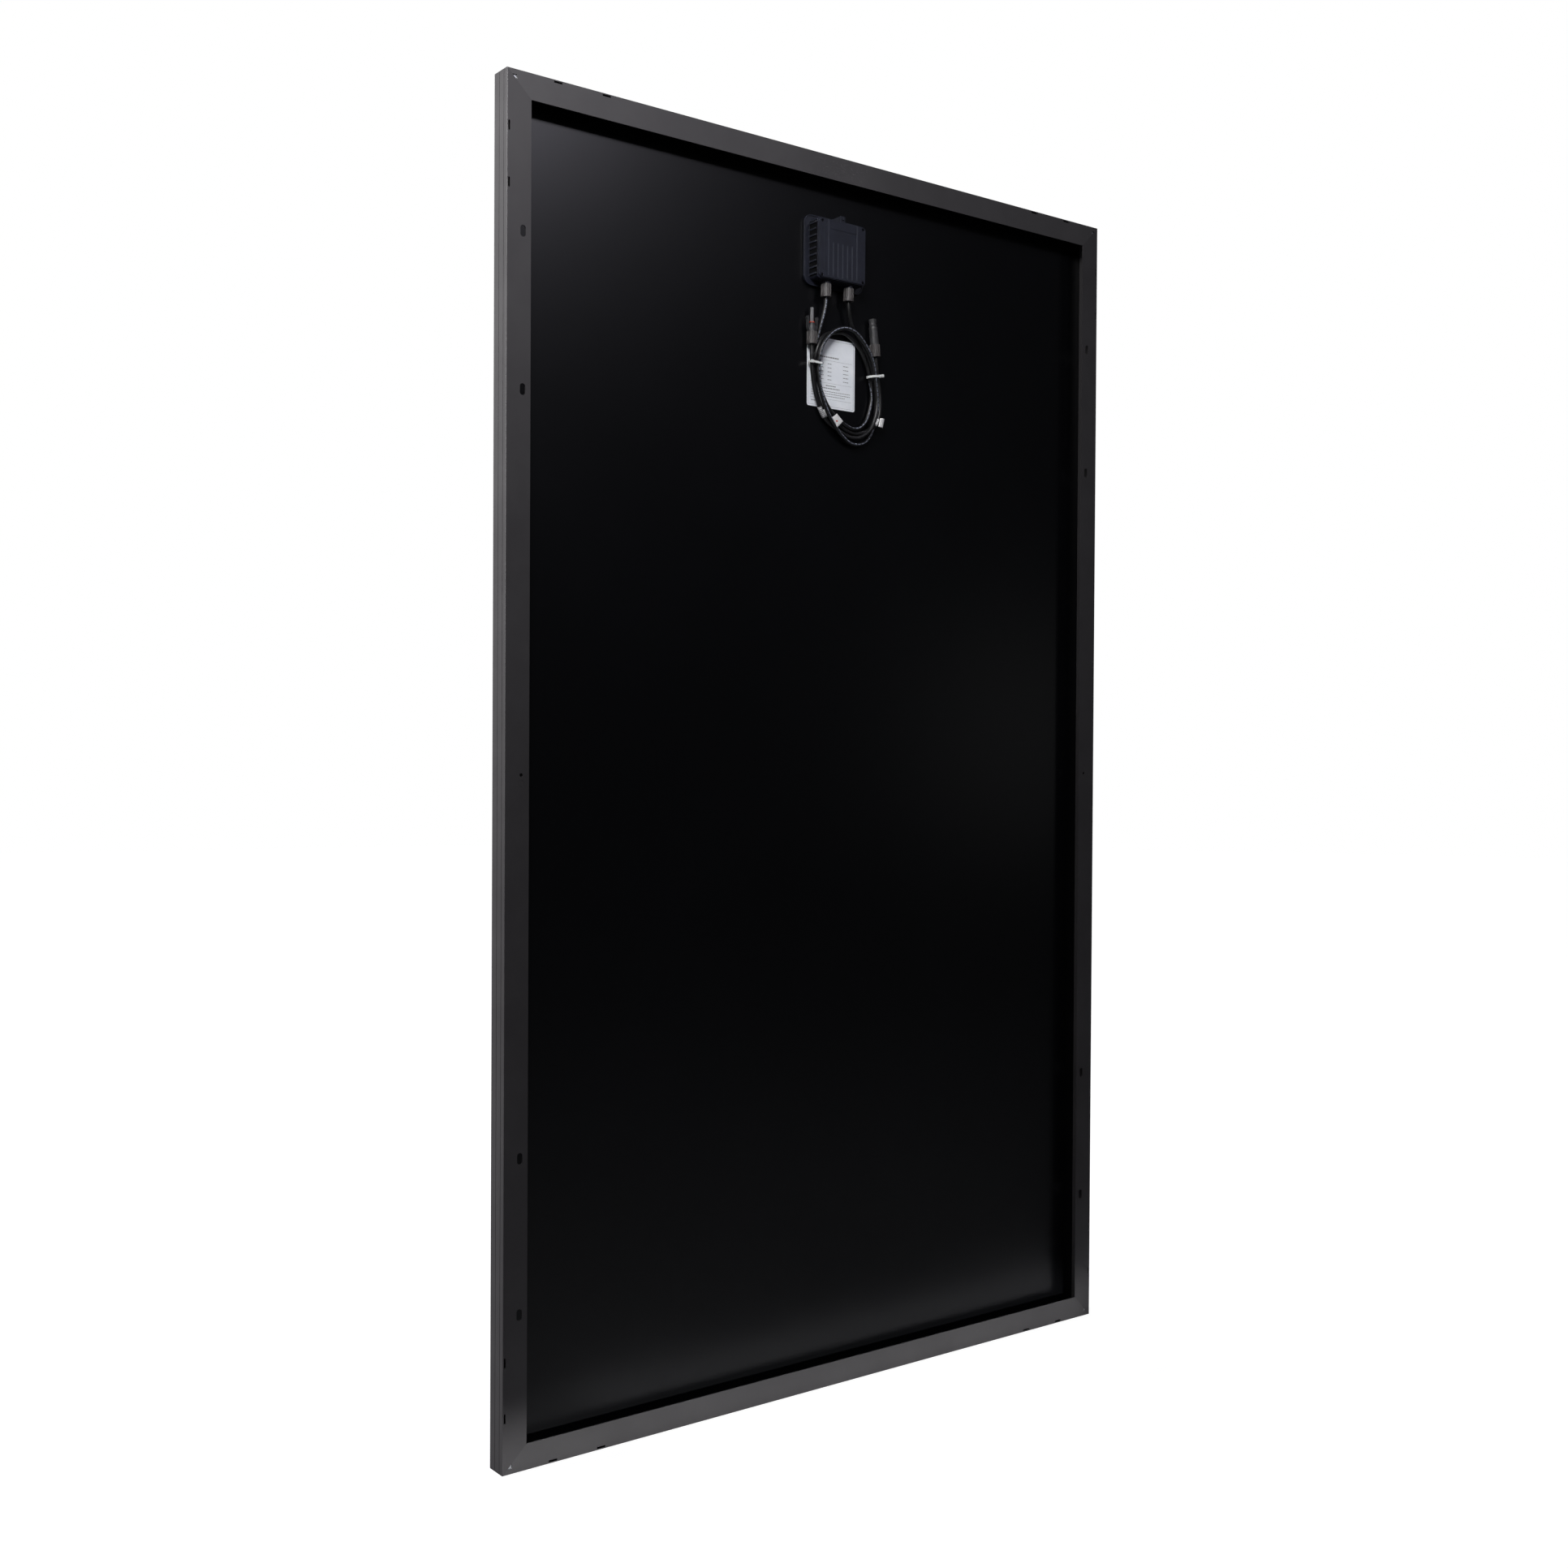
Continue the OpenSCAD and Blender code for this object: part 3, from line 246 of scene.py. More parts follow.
grain.links.new(g_in.outputs["Scale"], noise.inputs["Scale"])
bump = add(grain, "ShaderNodeBump", Distance=0.0002)
grain.links.new(g_in.outputs["Depth"], bump.inputs["Strength"])
grain.links.new(noise.outputs["Fac"], bump.inputs["Height"])
grain.links.new(bump.outputs[0], g_out.inputs["Normal"])
print("group:", grain.name, [s.name for s in grain.interface.items_tree])

# %% Group: mottle
mottle, m_in, m_out = new_group(
    "mottle", [("Colour", COLOUR, (0.1, 0.1, 0.1, 1)), ("Second", COLOUR, (0.2, 0.2, 0.2, 1)),
               ("Scale", FLOAT, 8.0), ("Smooth", FLOAT, 0.3), ("Rough", FLOAT, 0.6)],
    [("Colour", COLOUR), ("Roughness", FLOAT)])
m_place = add(mottle, "ShaderNodeTexCoord")
broad = add(mottle, "ShaderNodeTexNoise", Detail=5.0, Roughness=0.65)
mottle.links.new(m_place.outputs["Object"], broad.inputs["Vector"])
mottle.links.new(m_in.outputs["Scale"], broad.inputs["Scale"])
soft = add(mottle, "ShaderNodeMapRange", interpolation_type="SMOOTHSTEP")
soft.inputs["From Min"].default_value = 0.35
soft.inputs["From Max"].default_value = 0.7
mottle.links.new(broad.outputs["Fac"], soft.inputs["Value"])
blend = add(mottle, "ShaderNodeMix", data_type="RGBA")
mottle.links.new(soft.outputs["Result"], blend.inputs["Factor"])
mottle.links.new(m_in.outputs["Colour"], blend.inputs["A"])
mottle.links.new(m_in.outputs["Second"], blend.inputs["B"])
ranged = add(mottle, "ShaderNodeMapRange")
mottle.links.new(broad.outputs["Fac"], ranged.inputs["Value"])
mottle.links.new(m_in.outputs["Smooth"], ranged.inputs["To Min"])
mottle.links.new(m_in.outputs["Rough"], ranged.inputs["To Max"])
mottle.links.new(blend.outputs["Result"], m_out.inputs["Colour"])
mottle.links.new(ranged.outputs["Result"], m_out.inputs["Roughness"])
print("group:", mottle.name)

# %% [markdown]
# ## Finishes
# Every finish is a Principled shader fed by the groups. A call gives the two colours that the mottling
# blends, the two ends of the roughness, how small the mottling is, and how small and how deep the grain is.
# Black anodised aluminium is a dark metal whose grain runs along the extrusion, so the level rails and the
# upright rails need one material each. The level rails are also painted a little lighter than the upright
# ones: painted light for the brighter light that they catch.

# %% Finish helpers


def finish(name, colour, second, rough=(0.35, 0.6), mottling=8.0, grain_scale=900.0, depth=0.2,
           along=(1.0, 1.0), **shader):
    """A material with mottled colour, varying roughness and fine grain; shader names constant sockets."""
    material = bpy.data.materials.new(name)
    material.use_nodes = True
    tree = material.node_tree
    bsdf = tree.nodes["Principled BSDF"]
    for label, value in shader.items():
        bsdf.inputs[label.replace("_", " ")].default_value = value
    spots = add(tree, "ShaderNodeGroup", node_tree=mottle)
    for label, value in (("Colour", (*colour, 1)), ("Second", (*second, 1)), ("Scale", mottling),
                         ("Smooth", rough[0]), ("Rough", rough[1])):
        spots.inputs[label].default_value = value
    fine = add(tree, "ShaderNodeGroup", node_tree=grain)
    for label, value in (("Scale", grain_scale), ("Depth", depth),
                         ("Along X", along[0]), ("Along Z", along[1])):
        fine.inputs[label].default_value = value
    tree.links.new(spots.outputs["Colour"], bsdf.inputs["Base Color"])
    tree.links.new(spots.outputs["Roughness"], bsdf.inputs["Roughness"])
    tree.links.new(fine.outputs["Normal"], bsdf.inputs["Normal"])
    material.diffuse_color = (*colour, 1)
    return material


def dress(material, *names):
    """Gives a material to nodes of the CAD model that are shown as they are."""
    for name in names:
        nodes[name].data.materials.clear()
        nodes[name].data.materials.append(material)


def opened(material):
    """A finish's node tree, its shader, and the socket that its colour comes from."""
    tree = material.node_tree
    shader = tree.nodes["Principled BSDF"]
    return tree, shader, shader.inputs["Base Color"].links[0].from_socket


def parts_of_place(tree, kind, output, **values):
    """The X, Y and Z outputs of a place on the surface."""
    source = add(tree, kind, **values)
    apart = add(tree, "ShaderNodeSeparateXYZ")
    tree.links.new(source.outputs[output], apart.inputs[0])
    return apart.outputs


def paint_over(tree, shader, base, mask, colour):
    """Lays a plain colour over a finish's own colour where the mask is one."""
    mixed = add(tree, "ShaderNodeMix", data_type="RGBA")
    mixed.inputs["B"].default_value = (*colour, 1)
    tree.links.new(mask, mixed.inputs["Factor"])
    tree.links.new(base, mixed.inputs["A"])
    tree.links.new(mixed.outputs["Result"], shader.inputs["Base Color"])


# %% Metals
# The parts that are shown as CAD made them get their finish here, and the softened ones get theirs later.
anodised_upright = finish("anodised_upright", (0.053, 0.05, 0.053), (0.064, 0.061, 0.064), (0.4, 0.55), 6,
                          1100, 0.25, (1, 0.02), Metallic=0.3)
# Painted light: the level rails' colours are lighter than the upright rails', for the brighter light that
# the level rails catch.
anodised_level_painted_lighter = finish("anodised_level_painted_lighter", (0.066, 0.063, 0.066), (0.078, 0.075, 0.078), (0.4, 0.55), 6,
                        1100, 0.25, (0.02, 1), Metallic=0.3)
bare_aluminium = finish("bare_aluminium", (0.62, 0.63, 0.65), (0.5, 0.51, 0.53), (0.3, 0.5), 40, 700, 0.3,
                        Metallic=1)
tinned = finish("tinned_copper", (0.66, 0.67, 0.68), (0.55, 0.56, 0.58), (0.25, 0.45), 60, 900, 0.1,
                Metallic=1)
copper = finish("copper", (0.72, 0.36, 0.2), (0.55, 0.26, 0.15), (0.25, 0.45), 60, 900, 0.1,
                Metallic=1)
steel = finish("spring_steel", (0.5, 0.51, 0.53), (0.4, 0.41, 0.43), (0.25, 0.45), 60, 900, 0.1, Metallic=1)
# The lid screws are painted near black: painted shade for the deep recesses that they sit in.
shaded_screw_steel = finish("screw_steel_painted_shade", (0.01, 0.01, 0.011), (0.02, 0.02, 0.022), (0.3, 0.5), 300,
                    2000, 0.1, Metallic=0.9)
dress(bare_aluminium, "corner_keys")
dress(tinned, "cell_ribbons", "bus_ribbons", "box_leads", "plug_contact", "socket_contact")
dress(copper, "terminal_plates")
dress(steel, "ribbon_clips", "cable_clamps")
dress(shaded_screw_steel, "lid_screws")
print("metals:", len(bpy.data.materials))

# %% Plastics, rubbers and films
backsheet_film = finish("backsheet_film", (0.0014, 0.0015, 0.0021), (0.0019, 0.002, 0.0028), (0.27, 0.3), 3,
                        420, 0.1, (1, 0.03), Specular_IOR_Level=0.4)
silicone = finish("silicone", (0.02, 0.02, 0.022), (0.03, 0.03, 0.032), (0.45, 0.6), 30, 400, 0.3)
box_plastic = finish("box_plastic", (0.009, 0.0105, 0.0185), (0.0125, 0.0145, 0.025), (0.36, 0.5), 60,
                     1500, 0.4)
# Painted shade: a darker, rougher copy of the box plastic for the shadowed wall between the fins.
box_shadow = finish("box_shadow", (0.001, 0.001, 0.0016), (0.0016, 0.0016, 0.0024), (0.6, 0.75), 60,
                    1500, 0.4, Specular_IOR_Level=0.2)
nut_plastic = finish("nut_plastic", (0.05, 0.046, 0.046), (0.066, 0.06, 0.06), (0.4, 0.55), 120, 1500,
                     0.35)
plug_plastic = finish("connector_plastic", (0.03, 0.03, 0.032), (0.042, 0.042, 0.045), (0.38, 0.55), 120,
                      1500, 0.35)
tube_plastic = finish("plug_tube_plastic", (0.15, 0.15, 0.16), (0.19, 0.19, 0.2), (0.25, 0.4), 120, 1200,
                      0.1)
seal_rubber = finish("seal_rubber", (0.05, 0.05, 0.05), (0.07, 0.07, 0.07), (0.6, 0.75), 120, 1500, 0.3)
red_rubber = finish("ring_rubber", (0.62, 0.06, 0.02), (0.5, 0.05, 0.02), (0.4, 0.55), 200, 1500, 0.1)
diode_case = finish("diode_case", (0.03, 0.03, 0.03), (0.05, 0.05, 0.05), (0.5, 0.6), 200, 1500, 0.3)
tie_nylon = finish("tie_nylon", (0.8, 0.8, 0.78), (0.72, 0.72, 0.7), (0.35, 0.5), 200, 900, 0.15,
                   Subsurface_Weight=0.1)
label_film = finish("label_film", (0.82, 0.85, 0.9), (0.9, 0.92, 0.96), (0.3, 0.45), 25, 300, 0.1)
paper = finish("tag_paper", (0.8, 0.8, 0.8), (0.7, 0.7, 0.71), (0.5, 0.7), 150, 900, 0.2)
ink = finish("ink", (0.2, 0.2, 0.22), (0.27, 0.27, 0.29), (0.4, 0.55), 300, 900, 0.05)
rear_film = finish("rear_film", (0.01, 0.01, 0.012), (0.014, 0.014, 0.017), (0.3, 0.45), 10, 300, 0.1)
dress(backsheet_film, "backsheet")
dress(silicone, "edge_seal", "box_adhesive")
dress(rear_film, "rear_encapsulant")
dress(seal_rubber, "gland_seals", "lid_gasket", "plug_seal", "socket_seal")
dress(tube_plastic, "plug_tube")
dress(red_rubber, "plug_ring")
dress(diode_case, "bypass_diodes")
dress(label_film, "rating_label")
print("finishes so far:", len(bpy.data.materials))

# %% [markdown]
# ## Solar cells
# A cell is dark blue-black silicon with hair-thin silver fingers across it. The fingers repeat every
# 1.6 mm, so they are worked out from the place along Z. Each cell also has its own slight tint, which comes
# from a random number for its column and its row.

# %% Cell finish
CELL, CELL_GAP = 158.75 * MM, 2 * MM
# The lowest row's lower edge, less half a gap; then the fingers' step and the share of it that is silver.
FIRST_ROW, FINGER_STEP, FINGER_SHARE = 0.0337, 1.6 * MM, 0.05
cell_film = finish("silicon_cell", (0.006, 0.01, 0.03), (0.009, 0.015, 0.042), (0.2, 0.3), 14, 900, 0.08,
                   Coat_Weight=0.3)
tree, shader, base = opened(cell_film)
place = parts_of_place(tree, "ShaderNodeTexCoord", "Object")
pitch = CELL + CELL_GAP
column = maths(tree, "FLOOR", maths(tree, "DIVIDE", maths(tree, "ADD", place["X"], 3 * pitch), pitch))
row = maths(tree, "FLOOR", maths(tree, "DIVIDE", maths(tree, "SUBTRACT", place["Z"], FIRST_ROW), pitch))
number = add(tree, "ShaderNodeCombineXYZ")
tree.links.new(column, number.inputs["X"])
tree.links.new(row, number.inputs["Y"])
chance = add(tree, "ShaderNodeTexWhiteNoise", noise_dimensions="3D")
tree.links.new(number.outputs[0], chance.inputs["Vector"])
finger_share = maths(tree, "FRACT", maths(tree, "DIVIDE", place["Z"], FINGER_STEP))
finger = maths(tree, "LESS_THAN", finger_share, FINGER_SHARE)
tint = add(tree, "ShaderNodeMix", data_type="RGBA", blend_type="MULTIPLY")
tint.inputs["Factor"].default_value = 1.0
shade = add(tree, "ShaderNodeMapRange")
shade.inputs["To Min"].default_value = 0.75
shade.inputs["To Max"].default_value = 1.25
tree.links.new(chance.outputs["Value"], shade.inputs["Value"])
tree.links.new(base, tint.inputs["A"])
tree.links.new(shade.outputs["Result"], tint.inputs["B"])
paint_over(tree, shader, tint.outputs["Result"], finger, (0.35, 0.36, 0.38))
dress(cell_film, "solar_cells")
print("cell pitch:", round(pitch * 1000, 2), "mm")

# %% [markdown]
# ## Glass and clear film
# The glass lets light through and keeps a mirror-like face with a very slight roller texture. The clear
# film under it is bonded to it, so it needs no surface of its own: it is left almost fully clear.

# %% Glass
glass = bpy.data.materials.new("glass")
glass.use_nodes = True
tree = glass.node_tree
shader = tree.nodes["Principled BSDF"]
shader.inputs["Base Color"].default_value = (0.93, 0.96, 0.96, 1)
shader.inputs["Roughness"].default_value = 0.06
shader.inputs["Transmission Weight"].default_value = 1.0
shader.inputs["IOR"].default_value = 1.5
fine = add(tree, "ShaderNodeGroup", node_tree=grain)
fine.inputs["Scale"].default_value = 500
fine.inputs["Depth"].default_value = 0.008
tree.links.new(fine.outputs["Normal"], shader.inputs["Normal"])
clear_film = finish("clear_film", (0.85, 0.86, 0.88), (0.8, 0.81, 0.83), (0.2, 0.3), 20, 300, 0.05,
                    Alpha=0.02)
dress(glass, "front_glass")
dress(clear_film, "front_encapsulant")

# %% [markdown]
# ## Cable jacket
# The lead's tube is swept ring by ring along its route, with a texture map whose first number is the
# length along the cable and whose second one goes around it. The print on the jacket is a row of plain
# pale dashes on one side. A real lead twists as it is wound, so the dashes turn out of sight in places:
# they show where the twist is near 180 degrees, and are hidden where it is small.

# %% Swept tube


def made_object(name, mesh_data):
    """A finished object from a mesh in the making, with its normals outward."""
    bmesh.ops.recalc_face_normals(mesh_data, faces=mesh_data.faces)
    data = bpy.data.meshes.new(name)
    mesh_data.to_mesh(data)
    mesh_data.free()
    piece = bpy.data.objects.new(name, data)
    bpy.context.scene.collection.objects.link(piece)
    print(name, "faces:", len(data.polygons))
    return piece


def swept_tube(name, line, radius, twist, sides=14, wall=0.0):
    """A round tube along a line, solid or with a wall, with its length and its turn as a texture map."""
    mesh_data = bmesh.new()
    texture = mesh_data.loops.layers.uv.new("UVMap")
    long = 0.0
    total = length_of(line)
    rings = []
    for i, point in enumerate(line):
        along = (line[min(i + 1, len(line) - 1)] - line[max(i - 1, 0)]).normalized()
        side = along.cross(Vector((0, 1, 0))).normalized()
        facing = side.cross(along)
        long += (point - line[i - 1]).length if i else 0.0
        turn = math.radians(twist(long / total))
        if not rings:
            made = bmesh.ops.create_circle(mesh_data, cap_ends=False, radius=radius, segments=sides)["verts"]
            rings.append((made, long))
        else:
            edges = [e for e in mesh_data.edges if e.verts[0] in last and e.verts[1] in last]
            grown = bmesh.ops.extrude_edge_only(mesh_data, edges=edges)["geom"]
            new = {v for v in grown if isinstance(v, bmesh.types.BMVert)}
            after = {old: next(e.other_vert(old) for e in old.link_edges if e.other_vert(old) in new)
                     for old in rings[-1][0]}
            made = [after[old] for old in rings[-1][0]]
            rings.append((made, long))
        for n, vert in enumerate(made):
            a = 2 * math.pi * n / sides + turn
            vert.co = point + radius * (math.cos(a) * facing + math.sin(a) * side)
        last = set(made)
    number = {v: (k, n) for k, (verts, _) in enumerate(rings) for n, v in enumerate(verts)}
    for face in mesh_data.faces:
        face.smooth = True
        places = [number[loop.vert][1] for loop in face.loops]
        wraps = max(places) - min(places) > 1
        for loop in face.loops:
            k, n = number[loop.vert]
            n = n + sides if wraps and n == 0 else n
            loop[texture].uv = (rings[k][1], n / sides)
    if wall:
        bmesh.ops.recalc_face_normals(mesh_data, faces=mesh_data.faces)
        bmesh.ops.solidify(mesh_data, geom=mesh_data.faces, thickness=wall)
    else:
        for verts, _ in (rings[0], rings[-1]):
            bmesh.ops.contextual_create(mesh_data, geom=verts)
    return made_object(name, mesh_data)


def stepped(stations):
    """A twist in degrees that eases between stations along the length's share."""
    def twist(share):
        for (s0, a0), (s1, a1) in zip(stations, stations[1:]):
            if share <= s1:
                t = max(0.0, (share - s0) / (s1 - s0))
                return a0 + (a1 - a0) * t * t * (3 - 2 * t)
        return stations[-1][1]
    return twist


# %% Both leads
# Each pair is a share of the lead's length and its twist there in degrees.
socket_lead = swept_tube("lead_with_socket", socket_line, CABLE_R, stepped(
    ((0, 195), (0.14, 190), (0.2, 60), (0.29, 150), (0.36, 165), (0.43, 30), (1, 10))))
plug_lead = swept_tube("lead_with_plug", plug_line, CABLE_R, stepped(
    ((0, 20), (0.12, 30), (0.2, 165), (0.35, 190), (0.5, 175), (0.7, 180), (0.77, 40), (1, 20))))

# %% Jacket finish
# The dashes' step, the share of it left blank, half the band's share of the way round, and the level of
# the noise below which the print is broken.
DASH_STEP, DASH_GAP, BAND_HALF, BREAK_LEVEL = 7 * MM, 0.25, 0.045, 0.42
jacket = finish("cable_jacket", (0.007, 0.007, 0.0075), (0.011, 0.011, 0.012), (0.3, 0.42), 90, 1400, 0.15,
                Specular_IOR_Level=0.45)
tree, shader, base = opened(jacket)
place = parts_of_place(tree, "ShaderNodeUVMap", "UV", uv_map="UVMap")
turn_share = maths(tree, "FRACT", maths(tree, "ADD", place["Y"], 0.5))
around_it = maths(tree, "ABSOLUTE", maths(tree, "SUBTRACT", turn_share, 0.5))
in_band = maths(tree, "LESS_THAN", around_it, BAND_HALF)
dash_share = maths(tree, "FRACT", maths(tree, "DIVIDE", place["X"], DASH_STEP))
dash = maths(tree, "GREATER_THAN", dash_share, DASH_GAP)
gaps = add(tree, "ShaderNodeTexNoise", noise_dimensions="1D", Scale=700.0)
tree.links.new(place["X"], gaps.inputs["W"])
unbroken = maths(tree, "GREATER_THAN", gaps.outputs["Fac"], BREAK_LEVEL)
print_mark = maths(tree, "MULTIPLY", maths(tree, "MULTIPLY", in_band, dash), unbroken)
paint_over(tree, shader, base, print_mark, (0.2, 0.22, 0.28))
for lead in (socket_lead, plug_lead):
    lead.data.materials.append(jacket)
    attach(lead, "root")
dress(jacket, "cable_ends")
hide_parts("lead_left", "tail_right", "cable_coil")
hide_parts("lead_right", "tail_left")

# %% [markdown]
# ## Softened parts
# CAD edges are perfectly sharp, but a moulded or an extruded edge has a small rounding that catches the
# light. A copy of each part is merged, its flat areas are joined, and every sharp edge is bevelled. Where
# two rails meet at a corner, the two small bevels also draw the fine line of the mitre.

# %% Softening
# Points closer than the first are merged; faces within the second, in degrees, are joined as flat.
WELD, FLAT = 0.002 * MM, 0.5


def hand_over(piece, material, body, slot, *replaced):
    piece.data.materials.append(material)
    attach(piece, body)
    if replaced:
        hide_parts(*replaced)


def softened(name, width, material, body, slot, sharp=28):
    """A copy of a CAD node whose edges sharper than an angle are bevelled by a width."""
    mesh_data = bmesh.new()
    mesh_data.from_mesh(nodes[name].data)
    bmesh.ops.remove_doubles(mesh_data, verts=mesh_data.verts, dist=WELD)
    bmesh.ops.dissolve_limit(mesh_data, angle_limit=math.radians(FLAT), use_dissolve_boundaries=False,
                             verts=mesh_data.verts, edges=mesh_data.edges, delimit={"NORMAL"})
    edges = [e for e in mesh_data.edges
             if len(e.link_faces) == 2 and e.calc_face_angle() > math.radians(sharp)]
    bmesh.ops.bevel(mesh_data, geom=edges, offset=width, offset_type="OFFSET", affect="EDGES", segments=2,
                    profile=0.5, clamp_overlap=True, material=-1)
    for face in mesh_data.faces:
        face.smooth = True
    piece = made_object(name + "_soft", mesh_data)
    weighted = piece.modifiers.new("even_faces", "WEIGHTED_NORMAL")
    weighted.weight = 80
    hand_over(piece, material, body, slot, name)
    return piece


# %% Ribbed lid finish with painted highlights
# The lid's ribs are painted paler than the valleys between them: a painted highlight on the ribs and painted
# shade in the valleys. The ribs repeat along X, so the place across one rib comes from the fraction of a
# step. The inner ribs end lower than the outermost ones.
RIB_STEP, FIELD_HALF = 8.2 * MM, 26 * MM
FIELD_LOW, SHORT_TOP = (BOX_Z - 36.4) * MM, (BOX_Z + 10) * MM
lid_plastic = box_plastic.copy()
lid_plastic.name = "lid_plastic"
tree, shader, base = opened(lid_plastic)
place = parts_of_place(tree, "ShaderNodeTexCoord", "Object")
across = maths(tree, "SUBTRACT", place["X"], BOX_X * MM)
step_share = maths(tree, "FRACT", maths(tree, "ADD", maths(tree, "DIVIDE", across, RIB_STEP), 0.5))
off_rib = maths(tree, "ABSOLUTE", maths(tree, "SUBTRACT", step_share, 0.5))
rib_highlight = add(tree, "ShaderNodeMapRange", interpolation_type="SMOOTHSTEP")
for label, value in (("From Min", 0.08), ("From Max", 0.2), ("To Min", 1.0), ("To Max", 0.0)):
    rib_highlight.inputs[label].default_value = value
tree.links.new(off_rib, rib_highlight.inputs["Value"])
from_middle = maths(tree, "ABSOLUTE", across)
in_field = maths(tree, "MULTIPLY", maths(tree, "LESS_THAN", from_middle, FIELD_HALF),
                 maths(tree, "GREATER_THAN", place["Z"], FIELD_LOW))
reached = maths(tree, "MAXIMUM", maths(tree, "LESS_THAN", place["Z"], SHORT_TOP),
                maths(tree, "GREATER_THAN", from_middle, FIELD_HALF - RIB_STEP / 2))
mask = maths(tree, "MULTIPLY", maths(tree, "MULTIPLY", rib_highlight.outputs["Result"], in_field), reached)
# Painted highlight: the ribs get a paler colour than the shaded valleys between them.
paint_over(tree, shader, base, mask, (0.027, 0.03, 0.043))
print("finish:", lid_plastic.name)

# %% Softened moulded parts
# The wall between the fins on the box's left side is painted darker than the rest of the box: painted shade
# for the shadow between the fins. It is the largest of the faces that look left and lie left of a limit,
# with all those that are level with it.
BOX_EDGE, LID_EDGE, NUT_EDGE, PLUG_EDGE, SOCKET_EDGE = (w * MM for w in (0.3, 0.22, 0.25, 0.2, 0.25))
LEFT_LIMIT, LEVEL_WITH = (BOX_X - 30) * MM, 0.3 * MM
box_soft = softened("box_base", BOX_EDGE, box_plastic, "root", "box_plastic")
box_soft.data.materials.append(box_shadow)
walls = [face for face in box_soft.data.polygons if face.normal.x < -0.9 and face.center.x < LEFT_LIMIT]
wall_x = max(walls, key=lambda face: face.area).center.x
for face in walls:
    if abs(face.center.x - wall_x) < LEVEL_WITH:
        face.material_index = 1
print("left wall of the box at x", round(wall_x * 1000, 1), "faces:", len(walls))
softened("box_lid", LID_EDGE, lid_plastic, "lid", "box_plastic")
softened("gland_nut_left", NUT_EDGE, nut_plastic, "left_gland_nut", "nut_plastic")
softened("gland_nut_right", NUT_EDGE, nut_plastic, "right_gland_nut", "nut_plastic")
plug_cap = softened("plug_nut", NUT_EDGE, nut_plastic, "plug_cap", "nut_plastic")
socket_cap = softened("socket_nut", NUT_EDGE, nut_plastic, "socket_cap", "nut_plastic")
plug_shell = softened("plug_body", PLUG_EDGE, plug_plastic, "root", "connector_plastic")
socket_shell = softened("socket_body", SOCKET_EDGE, plug_plastic, "root", "connector_plastic")

# %% Waist of the socket
# The latch arms of a plug snap into a waist below the socket's mouth. The shell is cut at a few places along
# its axis, and the cuts are drawn in towards the axis. Each pair is the distance below the mouth and the
# share of the radius that is kept there.
WAIST = ((4.4, 1), (5.2, 0.8), (9.6, 0.8), (11, 1), (13, 1), (13.5, 0.93))
ON_CUT = 0.02 * MM
foot, heading = at(*SOCKET_FOOT), Vector((-0.115, 0, 0.993)).normalized()
mesh_data = bmesh.new()
mesh_data.from_mesh(socket_shell.data)
top = max((v.co - foot).dot(heading) for v in mesh_data.verts)
for below, _ in WAIST:
    bmesh.ops.bisect_plane(mesh_data, geom=mesh_data.verts[:] + mesh_data.edges[:] + mesh_data.faces[:],
                           plane_co=foot + (top - below * MM) * heading, plane_no=heading)
for vert in mesh_data.verts:
    long = (vert.co - foot).dot(heading)
    axis_point = foot + long * heading
    share = next((s for b, s in WAIST if abs(long - (top - b * MM)) < ON_CUT), 1)
    vert.co = axis_point + (vert.co - axis_point) * share
mesh_data.to_mesh(socket_shell.data)
mesh_data.free()
print("socket shell:", round(top * 1000, 1), "mm long")

# %% Softened rails
# Each rail gets the finish whose grain runs along it; the level rails' finish is also painted lighter, as
# painted light.
RAIL_EDGE = 0.3 * MM
rails = []
for name, material in (("rail_left", anodised_upright), ("rail_right", anodised_upright),
                       ("rail_top", anodised_level_painted_lighter), ("rail_bottom", anodised_level_painted_lighter)):
    rails.append(softened(name, RAIL_EDGE, material, "root", "frame_anodised"))

# %% Bare metal in the punched slots
# The drain slots are punched after the rails are anodised, so the small walls of a slot show bare metal.
# Such a wall lies in the flange, stands nearly square to it, is small, and is near the frame's outer edge.
HALF_W, HEIGHT = 0.5005, 1.675
FLANGE_Y, SQUARE_TO, SMALL = -14.5 * MM, 0.3, 24 * MM * MM
NEAREST, FARTHEST = 0.7 * MM, 9 * MM
for rail in rails:
    rail.data.materials.append(bare_aluminium)
    walls = 0
    for face in rail.data.polygons:
        x, y, z = face.center
        inset = min(HALF_W - abs(x), z, HEIGHT - z)
        in_flange = y < FLANGE_Y and abs(face.normal.y) < SQUARE_TO
        if in_flange and face.area < SMALL and NEAREST < inset < FARTHEST:
            face.material_index = 1
            walls += 1
    print(rail.name, "bare walls:", walls)

# %% [markdown]
# ## Cable ties
# A nylon tie is a thin strap drawn around the strands. It hugs them, so its loop is a rectangle with very
# round ends. The strap is a ring of points drawn out to its width and given its thickness. Its head is a
# small block, and the cut tail stands out of it.

# %% Ties
# The strap's width, thickness and rounding, and the heights of the loop's two long sides.
TIE_W, TIE_T, TIE_EDGE = 3.1 * MM, 0.5 * MM, 0.12 * MM
TIE_LOW, TIE_HIGH = 1.0, 13.2
# Powers below one square a round loop up, along X and in height.
SQUARE_X, SQUARE_Y = 0.55, 0.7
# The head and the cut tail: each one's three sizes and its shift from the head's place.
TIE_BLOCKS = (((4.4, 3.1, 4.2), (0, -0.2)), ((8, 0.5, 2.4), (-2.4, -1.2)))
HEAD_INSET, HEAD_DROP, BLOCK_ROUND = 1.6, 1.4, 0.18


